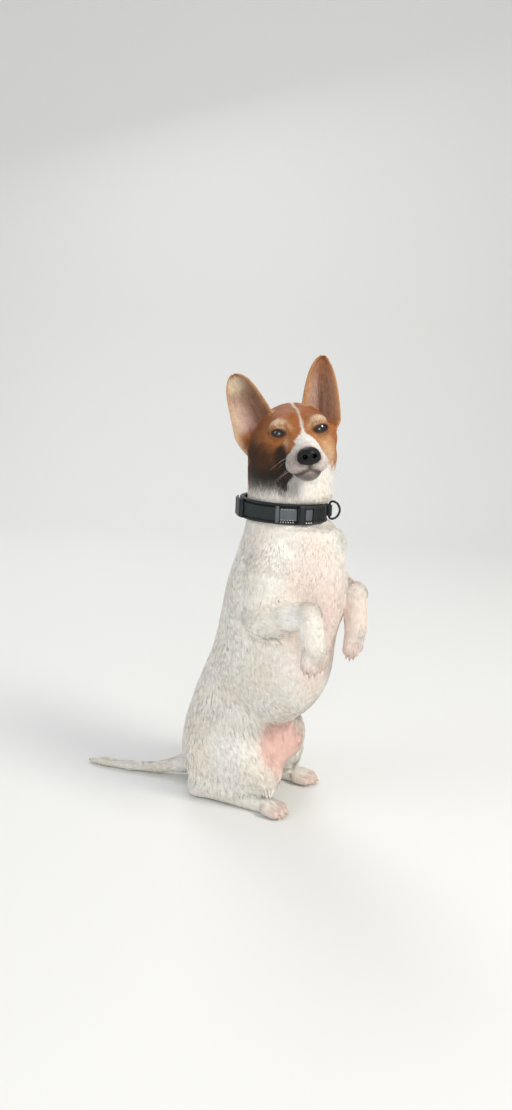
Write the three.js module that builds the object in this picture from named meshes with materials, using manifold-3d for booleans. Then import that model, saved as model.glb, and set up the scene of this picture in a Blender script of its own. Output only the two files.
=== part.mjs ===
// A small terrier sitting up on its haunches, forepaws hanging, at life size.
// Millimetres, +Z up. The chest faces -Y, the dog's own left is +X, and the floor is Z = 0.
//
// Flesh is described by distance functions: rounded bones and eggs that blend into each other.
// Each body part is turned into a closed mesh by `skinOf`, and the parts are then fitted to each
// other with boolean cuts that leave a hair-thin gap. Ears, eyes, nose and collar are separate.
import * as THREE from "three";
import { mergeVertices } from "three/addons/utils/BufferGeometryUtils.js";
import Module from "manifold-3d";

const wasm = await Module();
wasm.setup();
const { Manifold, Mesh: SolidMesh } = wasm;

// ---------------------------------------------------------------- driving dimensions
const GAP = 0.35; // between neighbouring solids
const CHEST_HEIGHT = 244; // centre of the rib cage above the floor
const CHEST_FORWARD = 38; // and ahead of the hips' line
const CHEST_WIDTH = 110;
const CHEST_DEPTH = 122;
const BODY_LEAN = [15, 0, 0]; // degrees: the trunk leans forward from the hips
const PELVIS_TURN = 22; // degrees: the hips face the dog's left of the chest
const PELVIS_CENTRE = [10, 22, 0];
const HEAD_CENTRE = [-2.3, -48.2, 404];
const HEAD_TURN = { yaw: -40, pitch: 5, roll: 9 }; // degrees: to its right, nose up, left side up
const EYE_RADIUS = 9;
const EYE_PLACE = [19.4, -27.8, 4.8]; // the left eye, in the head's own frame
const EYE_OPENING = [5.8, 6, 3.8]; // half-width, half-depth and half-height between the lids
const NOSE_PLACE = [0, -77, -18];
const NOSE_RADII = [10.8, 8, 8.5];
const CLAW_LENGTH = 14.5; // half of it inside the toe
const CLAW_RADIUS = 2.3;
const COLLAR_CENTRE = [-5.4, -40.6, 331];
const COLLAR_RADII = [43, 45.5];
const COLLAR_HEIGHT = 20;
const COLLAR_THICKNESS = 4.5;
const STRAP_THICKNESS = 1.6; // webbing sewn on the padded band
const STRAP_HALF = 6.5; // half its height
const BUCKLE_THICKNESS = 5;
const RING_WIRE = 1.15;
const STRAP_SPAN = [-3.5, 26.5]; // fortieths of a turn from the dog's left, seen from above
const SLIDER_SPAN = [14, 18];
const SLEEVE_SPAN = [23.5, 26.5];
const BUCKLE_SPAN = [26.5, 31.5];
const BUCKLE_SLOT_SPAN = [27.6, 28.6];
const KEEPER_SPAN = [34, 36];

// Facet sizes: fine on the head and limbs, coarse on the trunk.
const HEAD_CELL = 10.2;
const LIMB_CELL = 9.8;
const BODY_CELL = 21.3;

// ---------------------------------------------------------------- frames
const vec = (p) => new THREE.Vector3(...p);
const rad = THREE.MathUtils.degToRad;

const headFrame = new THREE.Matrix4()
  .makeTranslation(...HEAD_CENTRE)
  .multiply(new THREE.Matrix4().makeRotationZ(rad(HEAD_TURN.yaw)))
  .multiply(new THREE.Matrix4().makeRotationX(rad(-HEAD_TURN.pitch)))
  .multiply(new THREE.Matrix4().makeRotationY(rad(-HEAD_TURN.roll)));
const pelvisFrame = new THREE.Matrix4()
  .makeTranslation(...PELVIS_CENTRE)
  .multiply(new THREE.Matrix4().makeRotationZ(rad(PELVIS_TURN)));
const place = (frame, p) => vec(p).applyMatrix4(frame).toArray();
const mirror = (p, side) => [p[0] * side, p[1], p[2]];

// ---------------------------------------------------------------- distance functions
// A form is a function (x, y, z) -> distance in mm, negative inside.
function bone(a, b, ra, rb) {
  const [ax, ay, az] = a;
  const [dx, dy, dz] = [b[0] - ax, b[1] - ay, b[2] - az];
  const length2 = dx * dx + dy * dy + dz * dz;
  return (x, y, z) => {
    const [px, py, pz] = [x - ax, y - ay, z - az];
    const t = Math.min(1, Math.max(0, (px * dx + py * dy + pz * dz) / length2));
    return Math.hypot(px - t * dx, py - t * dy, pz - t * dz) - (ra + (rb - ra) * t);
  };
}

function egg(centre, radii, tilt = [0, 0, 0]) {
  const turn = new THREE.Matrix4().makeRotationFromEuler(new THREE.Euler(...tilt.map(rad), "ZYX"));
  const m = turn.transpose().elements;
  const [rx, ry, rz] = radii;
  return (x, y, z) => {
    const [px, py, pz] = [x - centre[0], y - centre[1], z - centre[2]];
    const u = (m[0] * px + m[4] * py + m[8] * pz) / rx;
    const v = (m[1] * px + m[5] * py + m[9] * pz) / ry;
    const w = (m[2] * px + m[6] * py + m[10] * pz) / rz;
    const k = Math.hypot(u, v, w);
    const slope = Math.hypot(u / rx, v / ry, w / rz);
    return slope < 1e-9 ? -Math.min(rx, ry, rz) : (k * (k - 1)) / slope;
  };
}

// Forms joined with a fillet of about `soft` mm.
function blend(soft, ...forms) {
  return (x, y, z) => {
    let d = forms[0](x, y, z);
    for (let i = 1; i < forms.length; i++) {
      const e = forms[i](x, y, z);
      const h = Math.max(soft - Math.abs(d - e), 0) / soft;
      d = Math.min(d, e) - (h * h * soft) / 4;
    }
    return d;
  };
}

// A form described in `frame`, seen from the part's own frame.
function inFrame(frame, form) {
  const m = frame.clone().invert().elements;
  return (x, y, z) =>
    form(
      m[0] * x + m[4] * y + m[8] * z + m[12],
      m[1] * x + m[5] * y + m[9] * z + m[13],
      m[2] * x + m[6] * y + m[10] * z + m[14],
    );
}

// ---------------------------------------------------------------- meshing
// Surface nets: one vertex in each cell that the surface passes through, moved onto the surface,
// and one quad for each grid edge that it crosses.
function skinOf(form, low, high, cell) {
  const n = low.map((l, i) => Math.ceil((high[i] - l) / cell) + 1);
  const at = (i, j, k) => (k * n[1] + j) * n[0] + i;
  const value = new Float64Array(n[0] * n[1] * n[2]);
  for (let k = 0; k < n[2]; k++)
    for (let j = 0; j < n[1]; j++)
      for (let i = 0; i < n[0]; i++)
        value[at(i, j, k)] = form(low[0] + i * cell, low[1] + j * cell, low[2] + k * cell);
  const vertexOf = new Int32Array(value.length).fill(-1);
  const points = [];
  const corners = [0, 1, 2, 3, 4, 5, 6, 7].map((c) => [c & 1, (c >> 1) & 1, c >> 2]);
  for (let k = 0; k < n[2] - 1; k++)
    for (let j = 0; j < n[1] - 1; j++)
      for (let i = 0; i < n[0] - 1; i++) {
        const v = corners.map(([a, b, c]) => value[at(i + a, j + b, k + c)]);
        if (v.every((d) => d < 0) || v.every((d) => d >= 0)) continue;
        const sum = [0, 0, 0];
        let crossings = 0;
        corners.forEach((p, a) =>
          corners.forEach((q, b) => {
            const steps = Math.abs(p[0] - q[0]) + Math.abs(p[1] - q[1]) + Math.abs(p[2] - q[2]);
            if (b <= a || steps !== 1 || v[a] < 0 === v[b] < 0) return;
            const t = v[a] / (v[a] - v[b]);
            for (let c = 0; c < 3; c++) sum[c] += p[c] + t * (q[c] - p[c]);
            crossings++;
          }),
        );
        vertexOf[at(i, j, k)] = points.length;
        const start = [i, j, k].map((g, c) => low[c] + (g + sum[c] / crossings) * cell);
        points.push(ontoSurface(form, start, cell / 2));
      }
  const triangles = [];
  const quad = (a, b, c, d, flip) => {
    const [p, q] = [distance(points[a], points[c]), distance(points[b], points[d])];
    const split = p <= q ? [a, b, c, a, c, d] : [a, b, d, b, c, d];
    triangles.push(...(flip ? split.reverse() : split));
  };
  for (let k = 1; k < n[2] - 1; k++)
    for (let j = 1; j < n[1] - 1; j++)
      for (let i = 1; i < n[0] - 1; i++) {
        const here = value[at(i, j, k)] < 0;
        const w = (a, b, c) => vertexOf[at(i - a, j - b, k - c)];
        if (here !== value[at(i + 1, j, k)] < 0)
          quad(w(0, 1, 1), w(0, 0, 1), w(0, 0, 0), w(0, 1, 0), !here);
        if (here !== value[at(i, j + 1, k)] < 0)
          quad(w(1, 0, 1), w(1, 0, 0), w(0, 0, 0), w(0, 0, 1), !here);
        if (here !== value[at(i, j, k + 1)] < 0)
          quad(w(1, 1, 0), w(0, 1, 0), w(0, 0, 0), w(1, 0, 0), !here);
      }
  return { points, triangles };
}

const distance = (p, q) => Math.hypot(p[0] - q[0], p[1] - q[1], p[2] - q[2]);

function slopeOf(form, [x, y, z], e = 0.5) {
  const g = [
    form(x + e, y, z) - form(x - e, y, z),
    form(x, y + e, z) - form(x, y - e, z),
    form(x, y, z + e) - form(x, y, z - e),
  ];
  return g.map((c) => c / (2 * e));
}

function ontoSurface(form, start, reach) {
  let p = start;
  for (let step = 0; step < 3; step++) {
    const g = slopeOf(form, p);
    const g2 = g[0] * g[0] + g[1] * g[1] + g[2] * g[2] || 1;
    const t = form(...p) / g2;
    p = p.map((c, i) => c - t * g[i]);
  }
  return distance(p, start) <= reach ? p : start;
}

function solidFrom({ points, triangles }) {
  return new Manifold(
    new SolidMesh({
      numProp: 3,
      vertProperties: new Float32Array(points.flat()),
      triVerts: new Uint32Array(triangles),
    }),
  );
}

const solidOf = (form, low, high, cell) => solidFrom(skinOf(form, low, high, cell));

function solidOfGeometry(geometry) {
  for (const name of ["uv", "normal"]) geometry.deleteAttribute(name);
  const merged = mergeVertices(geometry, 1e-4);
  return new Manifold(
    new SolidMesh({
      numProp: 3,
      vertProperties: new Float32Array(merged.attributes.position.array),
      triVerts: new Uint32Array(merged.index.array),
    }),
  );
}

// ---------------------------------------------------------------- fitting
const largest = (solid) => solid.decompose().sort((a, b) => b.volume() - a.volume())[0];

// The same solid, with its surface moved out by `by` mm along the vertex normals.
function inflated(solid, by = GAP) {
  const mesh = solid.getMesh();
  const geometry = new THREE.BufferGeometry();
  const positions = [];
  for (let i = 0; i < mesh.numVert; i++) positions.push(...mesh.position(i));
  geometry.setAttribute("position", new THREE.Float32BufferAttribute(positions, 3));
  geometry.setIndex([...mesh.triVerts]);
  geometry.computeVertexNormals();
  const normal = geometry.attributes.normal.array;
  return new Manifold(
    new SolidMesh({
      numProp: 3,
      vertProperties: new Float32Array(positions.map((c, i) => c + by * normal[i])),
      triVerts: new Uint32Array(mesh.triVerts),
    }),
  );
}

const without = (solid, ...others) =>
  largest(others.reduce((rest, other) => rest.subtract(inflated(other)), solid));

// The part of a solid on the side of a plane that `normal` points to, half a gap short of it.
function beyond(solid, point, normal) {
  const n = vec(normal).normalize();
  return largest(solid.trimByPlane(n.toArray(), n.dot(vec(point)) + GAP / 2));
}

const opposite = (normal) => normal.map((c) => -c);
const halfSpace = (point, normal) => {
  const n = vec(normal).normalize();
  const offset = n.dot(vec(point));
  return (x, y, z) => offset - (n.x * x + n.y * y + n.z * z);
};
// A form kept only where all the `limits` are negative.
const within = (form, ...limits) => (x, y, z) =>
  Math.max(form(x, y, z), ...limits.map((limit) => limit(x, y, z)));
const shifted = (point, normal, by) =>
  vec(point).addScaledVector(vec(normal).normalize(), by).toArray();

// ---------------------------------------------------------------- trunk and neck
const both = (make) => [-1, 1].map(make);
const ribs = egg(
  [0, -CHEST_FORWARD, CHEST_HEIGHT - 6],
  [CHEST_WIDTH / 2, CHEST_DEPTH / 2, 98],
  BODY_LEAN,
);
const brisket = egg([3, -68, 240], [38, 46, 66], BODY_LEAN);
const shoulders = both((side) => egg([39 * side, -45, 256], [20, 31, 44], BODY_LEAN));
const belly = egg([8, -33, 171], [54, 63, 77], [12, 0, 0]);
const loin = bone([6, 25, 110], [2, -32, 264], 47, 33);
const rump = inFrame(pelvisFrame, egg([0, 14, 60], [46, 50, 64], [10, 0, 0]));
const neckForm = bone([1, -47, 290], [-3.2, -43.8, 380], 46, 44.2);
const groin = inFrame(pelvisFrame, egg([0, -43, 75], [32, 36, 36]));
const torso = blend(20, ribs, brisket, ...shoulders, belly, loin, rump, groin, neckForm);

// ---------------------------------------------------------------- hind legs, in the hips' frame
const HIP = [32, 10, 74];
const HOCK = [42, 28, 11.5];
const FOOT_BALL = [46, -54, 8.5];
const TOE_TIP = [48, -74, 5.5];
const HIND = {
  left: { side: 1, knee: [40, -43, 41] },
  right: { side: -1, knee: [40, -48, 40] },
};
const thighForm = ({ side, knee }) =>
  blend(
    14,
    bone(mirror(HIP, side), mirror(knee, side), 38, 22),
    egg([38 * side, -4, 47], [26, 52, 43]),
  );
// Each toe runs from a root to a tip. The outer two are shorter.
const toeLines = ({ root, tip, rootStep, tipStep, turn = 0 }) =>
  [-1.5, -0.5, 0.5, 1.5].map((i) => {
    const shorter = Math.abs(i) > 1 ? 4 : 0;
    const back = vec(root).sub(vec(tip)).setLength(shorter);
    const across = [Math.cos(rad(turn)), Math.sin(rad(turn)), 0];
    return [
      shifted(root, across, i * rootStep),
      shifted(vec(tip).add(back).toArray(), across, i * tipStep),
    ];
  });
const toeForms = (toes) =>
  toeLines(toes).map(([root, tip]) => bone(root, tip, toes.radius, toes.radius * 0.86));
const hindToes = (side) => ({
  root: mirror(FOOT_BALL, side),
  tip: mirror(TOE_TIP, side),
  rootStep: 6.3,
  tipStep: 7,
  radius: 6.5,
  clawDrop: 0.25,
});
const hindfootForm = ({ side, knee }) =>
  blend(
    6,
    bone(mirror(between(knee, HOCK, 0.4), side), mirror(HOCK, side), 14, 12),
    bone(mirror(HOCK, side), mirror(FOOT_BALL, side), 12, 10),
    ...toeForms(hindToes(side)),
  );

// ---------------------------------------------------------------- forelegs
const FORELEG = {
  right: {
    side: -1,
    shoulder: [-44, -62, 276],
    elbow: [-47, -56, 222],
    wrist: [-45, -118, 240],
    knuckle: [-45, -128, 208],
    tip: [-45, -127, 188],
    turn: -15,
  },
  left: {
    side: 1,
    shoulder: [44, -60, 290],
    elbow: [54, -52, 250],
    wrist: [31, -112, 250],
    knuckle: [30, -117, 214],
    tip: [31, -114, 188],
    turn: 0,
  },
};
const between = (a, b, t) => a.map((c, i) => c + t * (b[i] - c));
const upperArmForm = ({ shoulder, elbow }) => bone(shoulder, elbow, 24, 20);
const foreToes = ({ knuckle, tip, turn }) => ({
  root: knuckle,
  tip,
  turn,
  rootStep: 5.6,
  tipStep: 6.1,
  radius: 6.4,
  clawDrop: 0,
});
const forelegForm = (leg) =>
  blend(
    4,
    bone(leg.elbow, leg.wrist, 18, 13),
    bone(leg.elbow, between(leg.elbow, leg.wrist, 0.5), 19.5, 16.5),
    bone(leg.wrist, leg.knuckle, 13.5, 12.3),
    ...toeForms(foreToes(leg)),
  );

// ---------------------------------------------------------------- head, in its own frame
const eyeAt = (side) => mirror(EYE_PLACE, side);
const skull = blend(
  10,
  egg([0, 20, 4], [36, 40, 30.5]),
  egg([0, -12, 8], [31, 25, 19]),
  ...both((side) => egg([21 * side, -2, -15], [17.6, 30, 23])),
  ...both((side) => egg([20.8 * side, 12, -28], [19.2, 28, 22])),
  ...both((side) => egg([35 * side, 12, -4], [9.5, 13, 13])),
  bone([0, -28, -13], [0, -67, -20.8], 22, 14),
  ...both((side) => egg([9.5 * side, -61, -26], [11, 16, 9])),
  bone([0, -25, -29], [0, -58, -32.5], 14, 8),
);
const brows = both((side) => egg([16.2 * side, -29.5, 13], [11, 8, 7]));
const lidRadii = [EYE_RADIUS + 2, EYE_RADIUS + 1.5, EYE_RADIUS + 1];
const lids = both((side) => egg(shifted(eyeAt(side), [side, 0, 0], 1.5), lidRadii));
const headForm = inFrame(headFrame, blend(5, skull, ...brows, ...lids));

// ---------------------------------------------------------------- cuts between pieces
const NECK_TOP = { point: [-8, -38, 362], normal: [0.15, -0.3, 0.94] };
const NECK_BASE = { point: [0, -44, 306], normal: [0, -0.1, 1] };
const WAIST = { point: [4, -24, 172], normal: [0, -0.3, 1] };
const PAST_CUT = 20; // mm modelled past a cut, so that the cut itself is clean

const flipped = ({ point, normal }) => ({ point, normal: opposite(normal) });
const cutBy = (solid, ...cuts) =>
  cuts.reduce((rest, { point, normal }) => beyond(rest, point, normal), solid);
const floored = (solid) => largest(solid.trimByPlane([0, 0, 1], 0));

// A slice of a form between cuts, meshed with cells of `cell` mm inside a box.
function slice(form, cell, low, high, ...cuts) {
  const limits = cuts.map(({ point, normal }) =>
    halfSpace(shifted(point, normal, -PAST_CUT), normal),
  );
  return cutBy(solidOf(within(form, ...limits), low, high, cell), ...cuts);
}

// ---------------------------------------------------------------- pieces of flesh
const pieces = {};
const neckAndHead = blend(8, torso, headForm);
const thighs = Object.values(HIND).map((leg) => inFrame(pelvisFrame, thighForm(leg)));
const trunk = blend(24, torso, ...thighs);
const trunkAndArms = blend(10, trunk, ...Object.values(FORELEG).map(upperArmForm));

// Neck, chest and seat are sampled on one grid, so that their outlines run on across the cuts.
const BODY_LOW = [-130, -165, -44];
const BODY_HIGH = [140, 240, 450];
const belowHead = flipped(NECK_TOP);
pieces.head = slice(neckAndHead, HEAD_CELL, [-92, -151, 281], [70, 60, 480], NECK_TOP);
pieces.neck = slice(neckAndHead, BODY_CELL, BODY_LOW, BODY_HIGH, NECK_BASE, belowHead);
const chest = slice(trunkAndArms, BODY_CELL, BODY_LOW, BODY_HIGH, WAIST, flipped(NECK_BASE));
const seat = slice(trunkAndArms, BODY_CELL, BODY_LOW, BODY_HIGH, flipped(WAIST));
pieces.chest = chest;
pieces.belly = floored(seat);

// One cone on the tip of each toe, leaning down by `clawDrop`, joined to the paw.
function withClaws(paw, toes, frame = new THREE.Matrix4()) {
  return toeLines(toes).reduce((rest, [root, tip]) => {
    const along = vec(tip).sub(vec(root)).normalize();
    const lean = along.clone().add(vec([0, 0, -toes.clawDrop])).normalize();
    const turn = new THREE.Quaternion().setFromUnitVectors(vec([0, 1, 0]), lean);
    const base = vec(tip).addScaledVector(along, -4).addScaledVector(lean, CLAW_LENGTH / 2);
    const claw = new THREE.ConeGeometry(CLAW_RADIUS, CLAW_LENGTH, 5)
      .applyQuaternion(turn)
      .translate(...base)
      .applyMatrix4(frame);
    return rest.add(solidOfGeometry(claw));
  }, paw);
}

for (const [name, leg] of Object.entries(FORELEG)) {
  const { side, shoulder, elbow, wrist, knuckle } = leg;
  const forearm = vec(wrist).sub(vec(elbow)).normalize();
  const hand = vec(knuckle).sub(vec(wrist)).normalize();
  const elbowCut = {
    point: shifted(elbow, forearm.toArray(), 3),
    normal: forearm.toArray(),
  };
  const wristCut = { point: wrist, normal: forearm.clone().add(hand).toArray() };
  const whole = solidOf(forelegForm(leg), [-100, -160, 150], [100, 10, 300], LIMB_CELL);
  const free = without(cutBy(whole, elbowCut), chest);
  const region = solidOf(
    bone(shifted(shoulder, [side, 0, 0], 8), shifted(elbow, [side, 0, 0], 6), 27, 25),
    [-140, -150, 110], [140, 70, 370], 22,
  );
  pieces[`upper_arm_${name}`] = largest(chest.intersect(region));
  pieces.chest = largest(pieces.chest.subtract(inflated(region)));
  pieces[`forearm_${name}`] = cutBy(free, flipped(wristCut));
  pieces[`forepaw_${name}`] = withClaws(cutBy(free, wristCut), foreToes(leg));
}

for (const [name, leg] of Object.entries(HIND)) {
  const foot = solidOf(
    inFrame(pelvisFrame, hindfootForm(leg)), [-141, -140, -43.3], [140, 110, 110], LIMB_CELL,
  );
  const region = solidOf(
    inFrame(pelvisFrame, egg([52 * leg.side, -4, 50], [37, 76, 68])),
    [-170, -170, -70], [170, 170, 190], 26,
  );
  pieces[`thigh_${name}`] = without(pieces.belly.intersect(region), foot);
  pieces.belly = without(pieces.belly, foot, region);
  pieces[`hindfoot_${name}`] = floored(withClaws(foot, hindToes(leg.side), pelvisFrame));
}

// ---------------------------------------------------------------- tail
// A closed tube through `stations`, each [point, radius].
function tube(stations, rings, sides) {
  const path = new THREE.CatmullRomCurve3(stations.map(([p]) => vec(p)));
  const radii = stations.map(([, r]) => r);
  const points = [];
  const triangles = [];
  for (let i = 0; i <= rings; i++) {
    const t = i / rings;
    const centre = path.getPoint(t);
    const along = path.getTangent(t);
    const across = new THREE.Vector3(0, 0, 1).cross(along).normalize();
    const up = along.clone().cross(across);
    const spot = t * (radii.length - 1);
    const k = Math.min(Math.floor(spot), radii.length - 2);
    const radius = radii[k] + (spot - k) * (radii[k + 1] - radii[k]);
    for (let j = 0; j < sides; j++) {
      const a = (2 * Math.PI * j) / sides;
      points.push(
        centre.clone()
          .addScaledVector(across, radius * Math.cos(a))
          .addScaledVector(up, radius * Math.sin(a))
          .toArray(),
      );
    }
  }
  const ends = [0, rings].map((i) => points.push(path.getPoint(i / rings).toArray()) - 1);
  for (let j = 0; j < sides; j++) {
    const next = (j + 1) % sides;
    triangles.push(ends[0], next, j, ends[1], rings * sides + j, rings * sides + next);
    for (let i = 0; i < rings; i++) {
      const [a, b] = [i * sides + j, i * sides + next];
      triangles.push(a, b, b + sides, a, b + sides, a + sides);
    }
  }
  return solidFrom({ points, triangles });
}
const tailStations = [
  [[0, 40, 22], 14],
  [[-4, 66, 15], 10.5],
  [[-12, 92, 8], 7],
  [[-20, 126, 5.5], 6.2],
  [[-24, 158, 5], 5.4],
  [[-25, 176, 3.6], 3.6],
].map(([p, r]) => [place(pelvisFrame, p), r]);
pieces.tail = floored(without(tube(tailStations, 10, 8), seat));

// ---------------------------------------------------------------- ears
// Each edge stands off the axis by [mm, change with height, change with height squared], and
// the outer edge starts lower than the inner one by `lobe` of the ear's length.
const EARS = {
  left: {
    base: [27, 13, 5], tip: [37.5, 21.5, 76], facing: [0.3, -1, 0.1], outer: -1, lobe: 0.02,
    outerEdge: [20.5, -0.1, -0.5], innerEdge: [22, -0.1, -0.45],
  },
  right: {
    base: [-32, 13, 4], tip: [-52.5, 22, 67], facing: [-0.3, -1, 0.1], outer: 1, lobe: 0.2,
    outerEdge: [26, -0.6, 0], innerEdge: [21.5, -0.35, -0.1],
  },
};
function earHalfWidth(u, onOuter, { lobe, outerEdge, innerEdge }) {
  const start = Math.sqrt(Math.min(1, Math.max(0, (u + lobe) / (lobe + 0.12))));
  const rise = Math.sin((Math.min(1, Math.max(0, u / 0.3)) * Math.PI) / 2);
  const waist = onOuter ? 0.5 + 0.5 * start : 0.72 + 0.28 * rise;
  const [width, slope, curve] = onOuter ? outerEdge : innerEdge;
  return width * waist * (1 + slope * u + curve * u * u) * Math.sqrt(1 - u ** 8);
}
function earSolid(ear, rows = 7, columns = 6) {
  const { base, tip, facing, outer, lobe } = ear;
  const up = vec(tip).sub(vec(base));
  const length = up.length();
  up.normalize();
  const out = vec(facing).cross(up).normalize();
  const front = up.clone().cross(out);
  const at = (u, v, face) => {
    const width = earHalfWidth(u, v * outer > 0, ear);
    const cup = (15 * (1 - u) + 3) * (1 - v * v) - 5;
    const thick = 0.9 + 1.3 * (1 - v * v) * (1 - 0.5 * u);
    return vec(base)
      .addScaledVector(up, u * length)
      .addScaledVector(out, v * width)
      .addScaledVector(front, face * thick - cup)
      .applyMatrix4(headFrame)
      .toArray();
  };
  const points = [];
  const triangles = [];
  const index = (face, r, c) => (face * (rows + 1) + r) * (columns + 1) + c;
  for (const face of [1, -1])
    for (let r = 0; r <= rows; r++)
      for (let c = 0; c <= columns; c++) {
        const v = (2 * c) / columns - 1;
        const start = -lobe * Math.max(0, v * outer);
        points.push(at(start + (0.99 - start) * (1 - (1 - r / rows) ** 1.3), v, face));
      }
  const quad = (a, b, c, d) => triangles.push(a, c, b, a, d, c);
  // The two faces, and then the rim that joins them.
  for (let r = 0; r < rows; r++)
    for (let c = 0; c < columns; c++) {
      const [d, e] = [r + 1, c + 1];
      quad(index(0, r, c), index(0, r, e), index(0, d, e), index(0, d, c));
      quad(index(1, r, e), index(1, r, c), index(1, d, c), index(1, d, e));
    }
  for (let r = 0; r < rows; r++) {
    const [d, e] = [r + 1, columns];
    quad(index(1, r, 0), index(0, r, 0), index(0, d, 0), index(1, d, 0));
    quad(index(0, r, e), index(1, r, e), index(1, d, e), index(0, d, e));
  }
  for (let c = 0; c < columns; c++) {
    const [d, e] = [rows, c + 1];
    quad(index(1, 0, c), index(1, 0, e), index(0, 0, e), index(0, 0, c));
    quad(index(0, d, c), index(0, d, e), index(1, d, e), index(1, d, c));
  }
  return solidFrom({ points, triangles });
}
for (const [name, form] of Object.entries(EARS))
  pieces[`ear_${name}`] = without(earSolid(form), pieces.head);

// ---------------------------------------------------------------- eyes and nose
const ball = (radii, centre, columns = 12, rows = 7) =>
  solidOfGeometry(
    new THREE.SphereGeometry(1, columns, rows)
      .rotateX(Math.PI / 2)
      .scale(...radii)
      .translate(...centre)
      .applyMatrix4(headFrame),
  );
for (const [name, side] of [["left", 1], ["right", -1]]) {
  const centre = eyeAt(side);
  const eye = ball([EYE_RADIUS, EYE_RADIUS, EYE_RADIUS], centre);
  const front = [centre[0] - side, centre[1] - EYE_RADIUS, centre[2]];
  const opening = ball(EYE_OPENING, front, 10, 6);
  pieces[`eye_${name}`] = eye;
  pieces.head = largest(pieces.head.subtract(opening.add(inflated(eye))));
}
pieces.nose = ball(NOSE_RADII, NOSE_PLACE, 12, 8);
pieces.head = without(pieces.head, pieces.nose);

// ---------------------------------------------------------------- collar
// Pieces of the collar follow the band: `section` holds [outwards, up] pairs, and the steps
// count round the neck from the dog's left. A full turn closes on itself.
const COLLAR_STEPS = 40;
function collarPiece(section, from = 0, to = COLLAR_STEPS) {
  const closed = to - from === COLLAR_STEPS;
  const m = section.length;
  const rows = closed ? COLLAR_STEPS : to - from + 1;
  const points = [];
  const triangles = [];
  for (let i = 0; i < rows; i++) {
    const a = (2 * Math.PI * (from + i)) / COLLAR_STEPS;
    for (const [outwards, up] of section)
      points.push([
        COLLAR_CENTRE[0] + (COLLAR_RADII[0] + outwards) * Math.cos(a),
        COLLAR_CENTRE[1] + (COLLAR_RADII[1] + outwards) * Math.sin(a),
        COLLAR_CENTRE[2] + up,
      ]);
  }
  for (let i = 0; i < (closed ? rows : rows - 1); i++)
    for (let j = 0; j < m; j++) {
      const [a, b] = [i * m + j, i * m + ((j + 1) % m)];
      const [c, d] = [a, b].map((n) => (n + m) % (rows * m));
      triangles.push(a, c, d, a, d, b);
    }
  if (!closed)
    for (let j = 1; j < m - 1; j++) {
      const last = (rows - 1) * m;
      triangles.push(0, j, j + 1, last, last + j + 1, last + j);
    }
  return solidFrom({ points, triangles });
}
const halfHeight = COLLAR_HEIGHT / 2;
const block = (inner, outer, half) => [
  [inner, -half],
  [outer, -half + 1],
  [outer, half - 1],
  [inner, half],
];

pieces.collar_band = collarPiece([
  [-COLLAR_THICKNESS, -halfHeight],
  [0, -halfHeight + 1.5],
  [0, halfHeight - 1.5],
  [-COLLAR_THICKNESS, halfHeight],
]);
pieces.collar_strap = collarPiece(block(GAP, STRAP_THICKNESS, STRAP_HALF), ...STRAP_SPAN);
const overStrap = STRAP_THICKNESS + GAP;
pieces.collar_slider = collarPiece(block(overStrap, overStrap + 2, 9.5), ...SLIDER_SPAN);
pieces.collar_sleeve = collarPiece(block(overStrap, overStrap + 1, 6), ...SLEEVE_SPAN);
pieces.collar_buckle = collarPiece(block(GAP, BUCKLE_THICKNESS, 9), ...BUCKLE_SPAN).subtract(
  collarPiece(block(BUCKLE_THICKNESS - 2, BUCKLE_THICKNESS + 2, 5.5), ...BUCKLE_SLOT_SPAN),
);

// The lead's ring stands straight out from the band, its bar held in a keeper.
const ringAngle = (2 * Math.PI * (KEEPER_SPAN[0] + KEEPER_SPAN[1])) / 2 / COLLAR_STEPS;
const RING_BAR = [[0, -7], [0, 0], [0, 7]];
const RING_BOW = [[3, 9], [8, 6.5], [10.5, 0], [8, -6.5], [3, -9]];
const ringPath = new THREE.CatmullRomCurve3(
  [...RING_BAR, ...RING_BOW].map(([outwards, up]) =>
    vec([
      COLLAR_CENTRE[0] + (COLLAR_RADII[0] + 2.6 + outwards) * Math.cos(ringAngle),
      COLLAR_CENTRE[1] + (COLLAR_RADII[1] + 2.6 + outwards) * Math.sin(ringAngle),
      COLLAR_CENTRE[2] + up,
    ]),
  ),
  true,
);
const ringSolid = (radius) =>
  solidOfGeometry(new THREE.TubeGeometry(ringPath, 16, radius, 5, true));
pieces.collar_ring = ringSolid(RING_WIRE);
pieces.collar_keeper = largest(
  collarPiece(block(GAP, 5, 5.5), ...KEEPER_SPAN).subtract(ringSolid(RING_WIRE + GAP)),
);

// The coat bulges above and below the band, and none of it lies over the band.
const pressed = collarPiece([
  [-COLLAR_THICKNESS - GAP, -halfHeight - GAP],
  [16, -halfHeight - GAP],
  [16, halfHeight + GAP],
  [-COLLAR_THICKNESS - GAP, halfHeight + GAP],
]);
pieces.neck = largest(pieces.neck.subtract(pressed));

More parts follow.
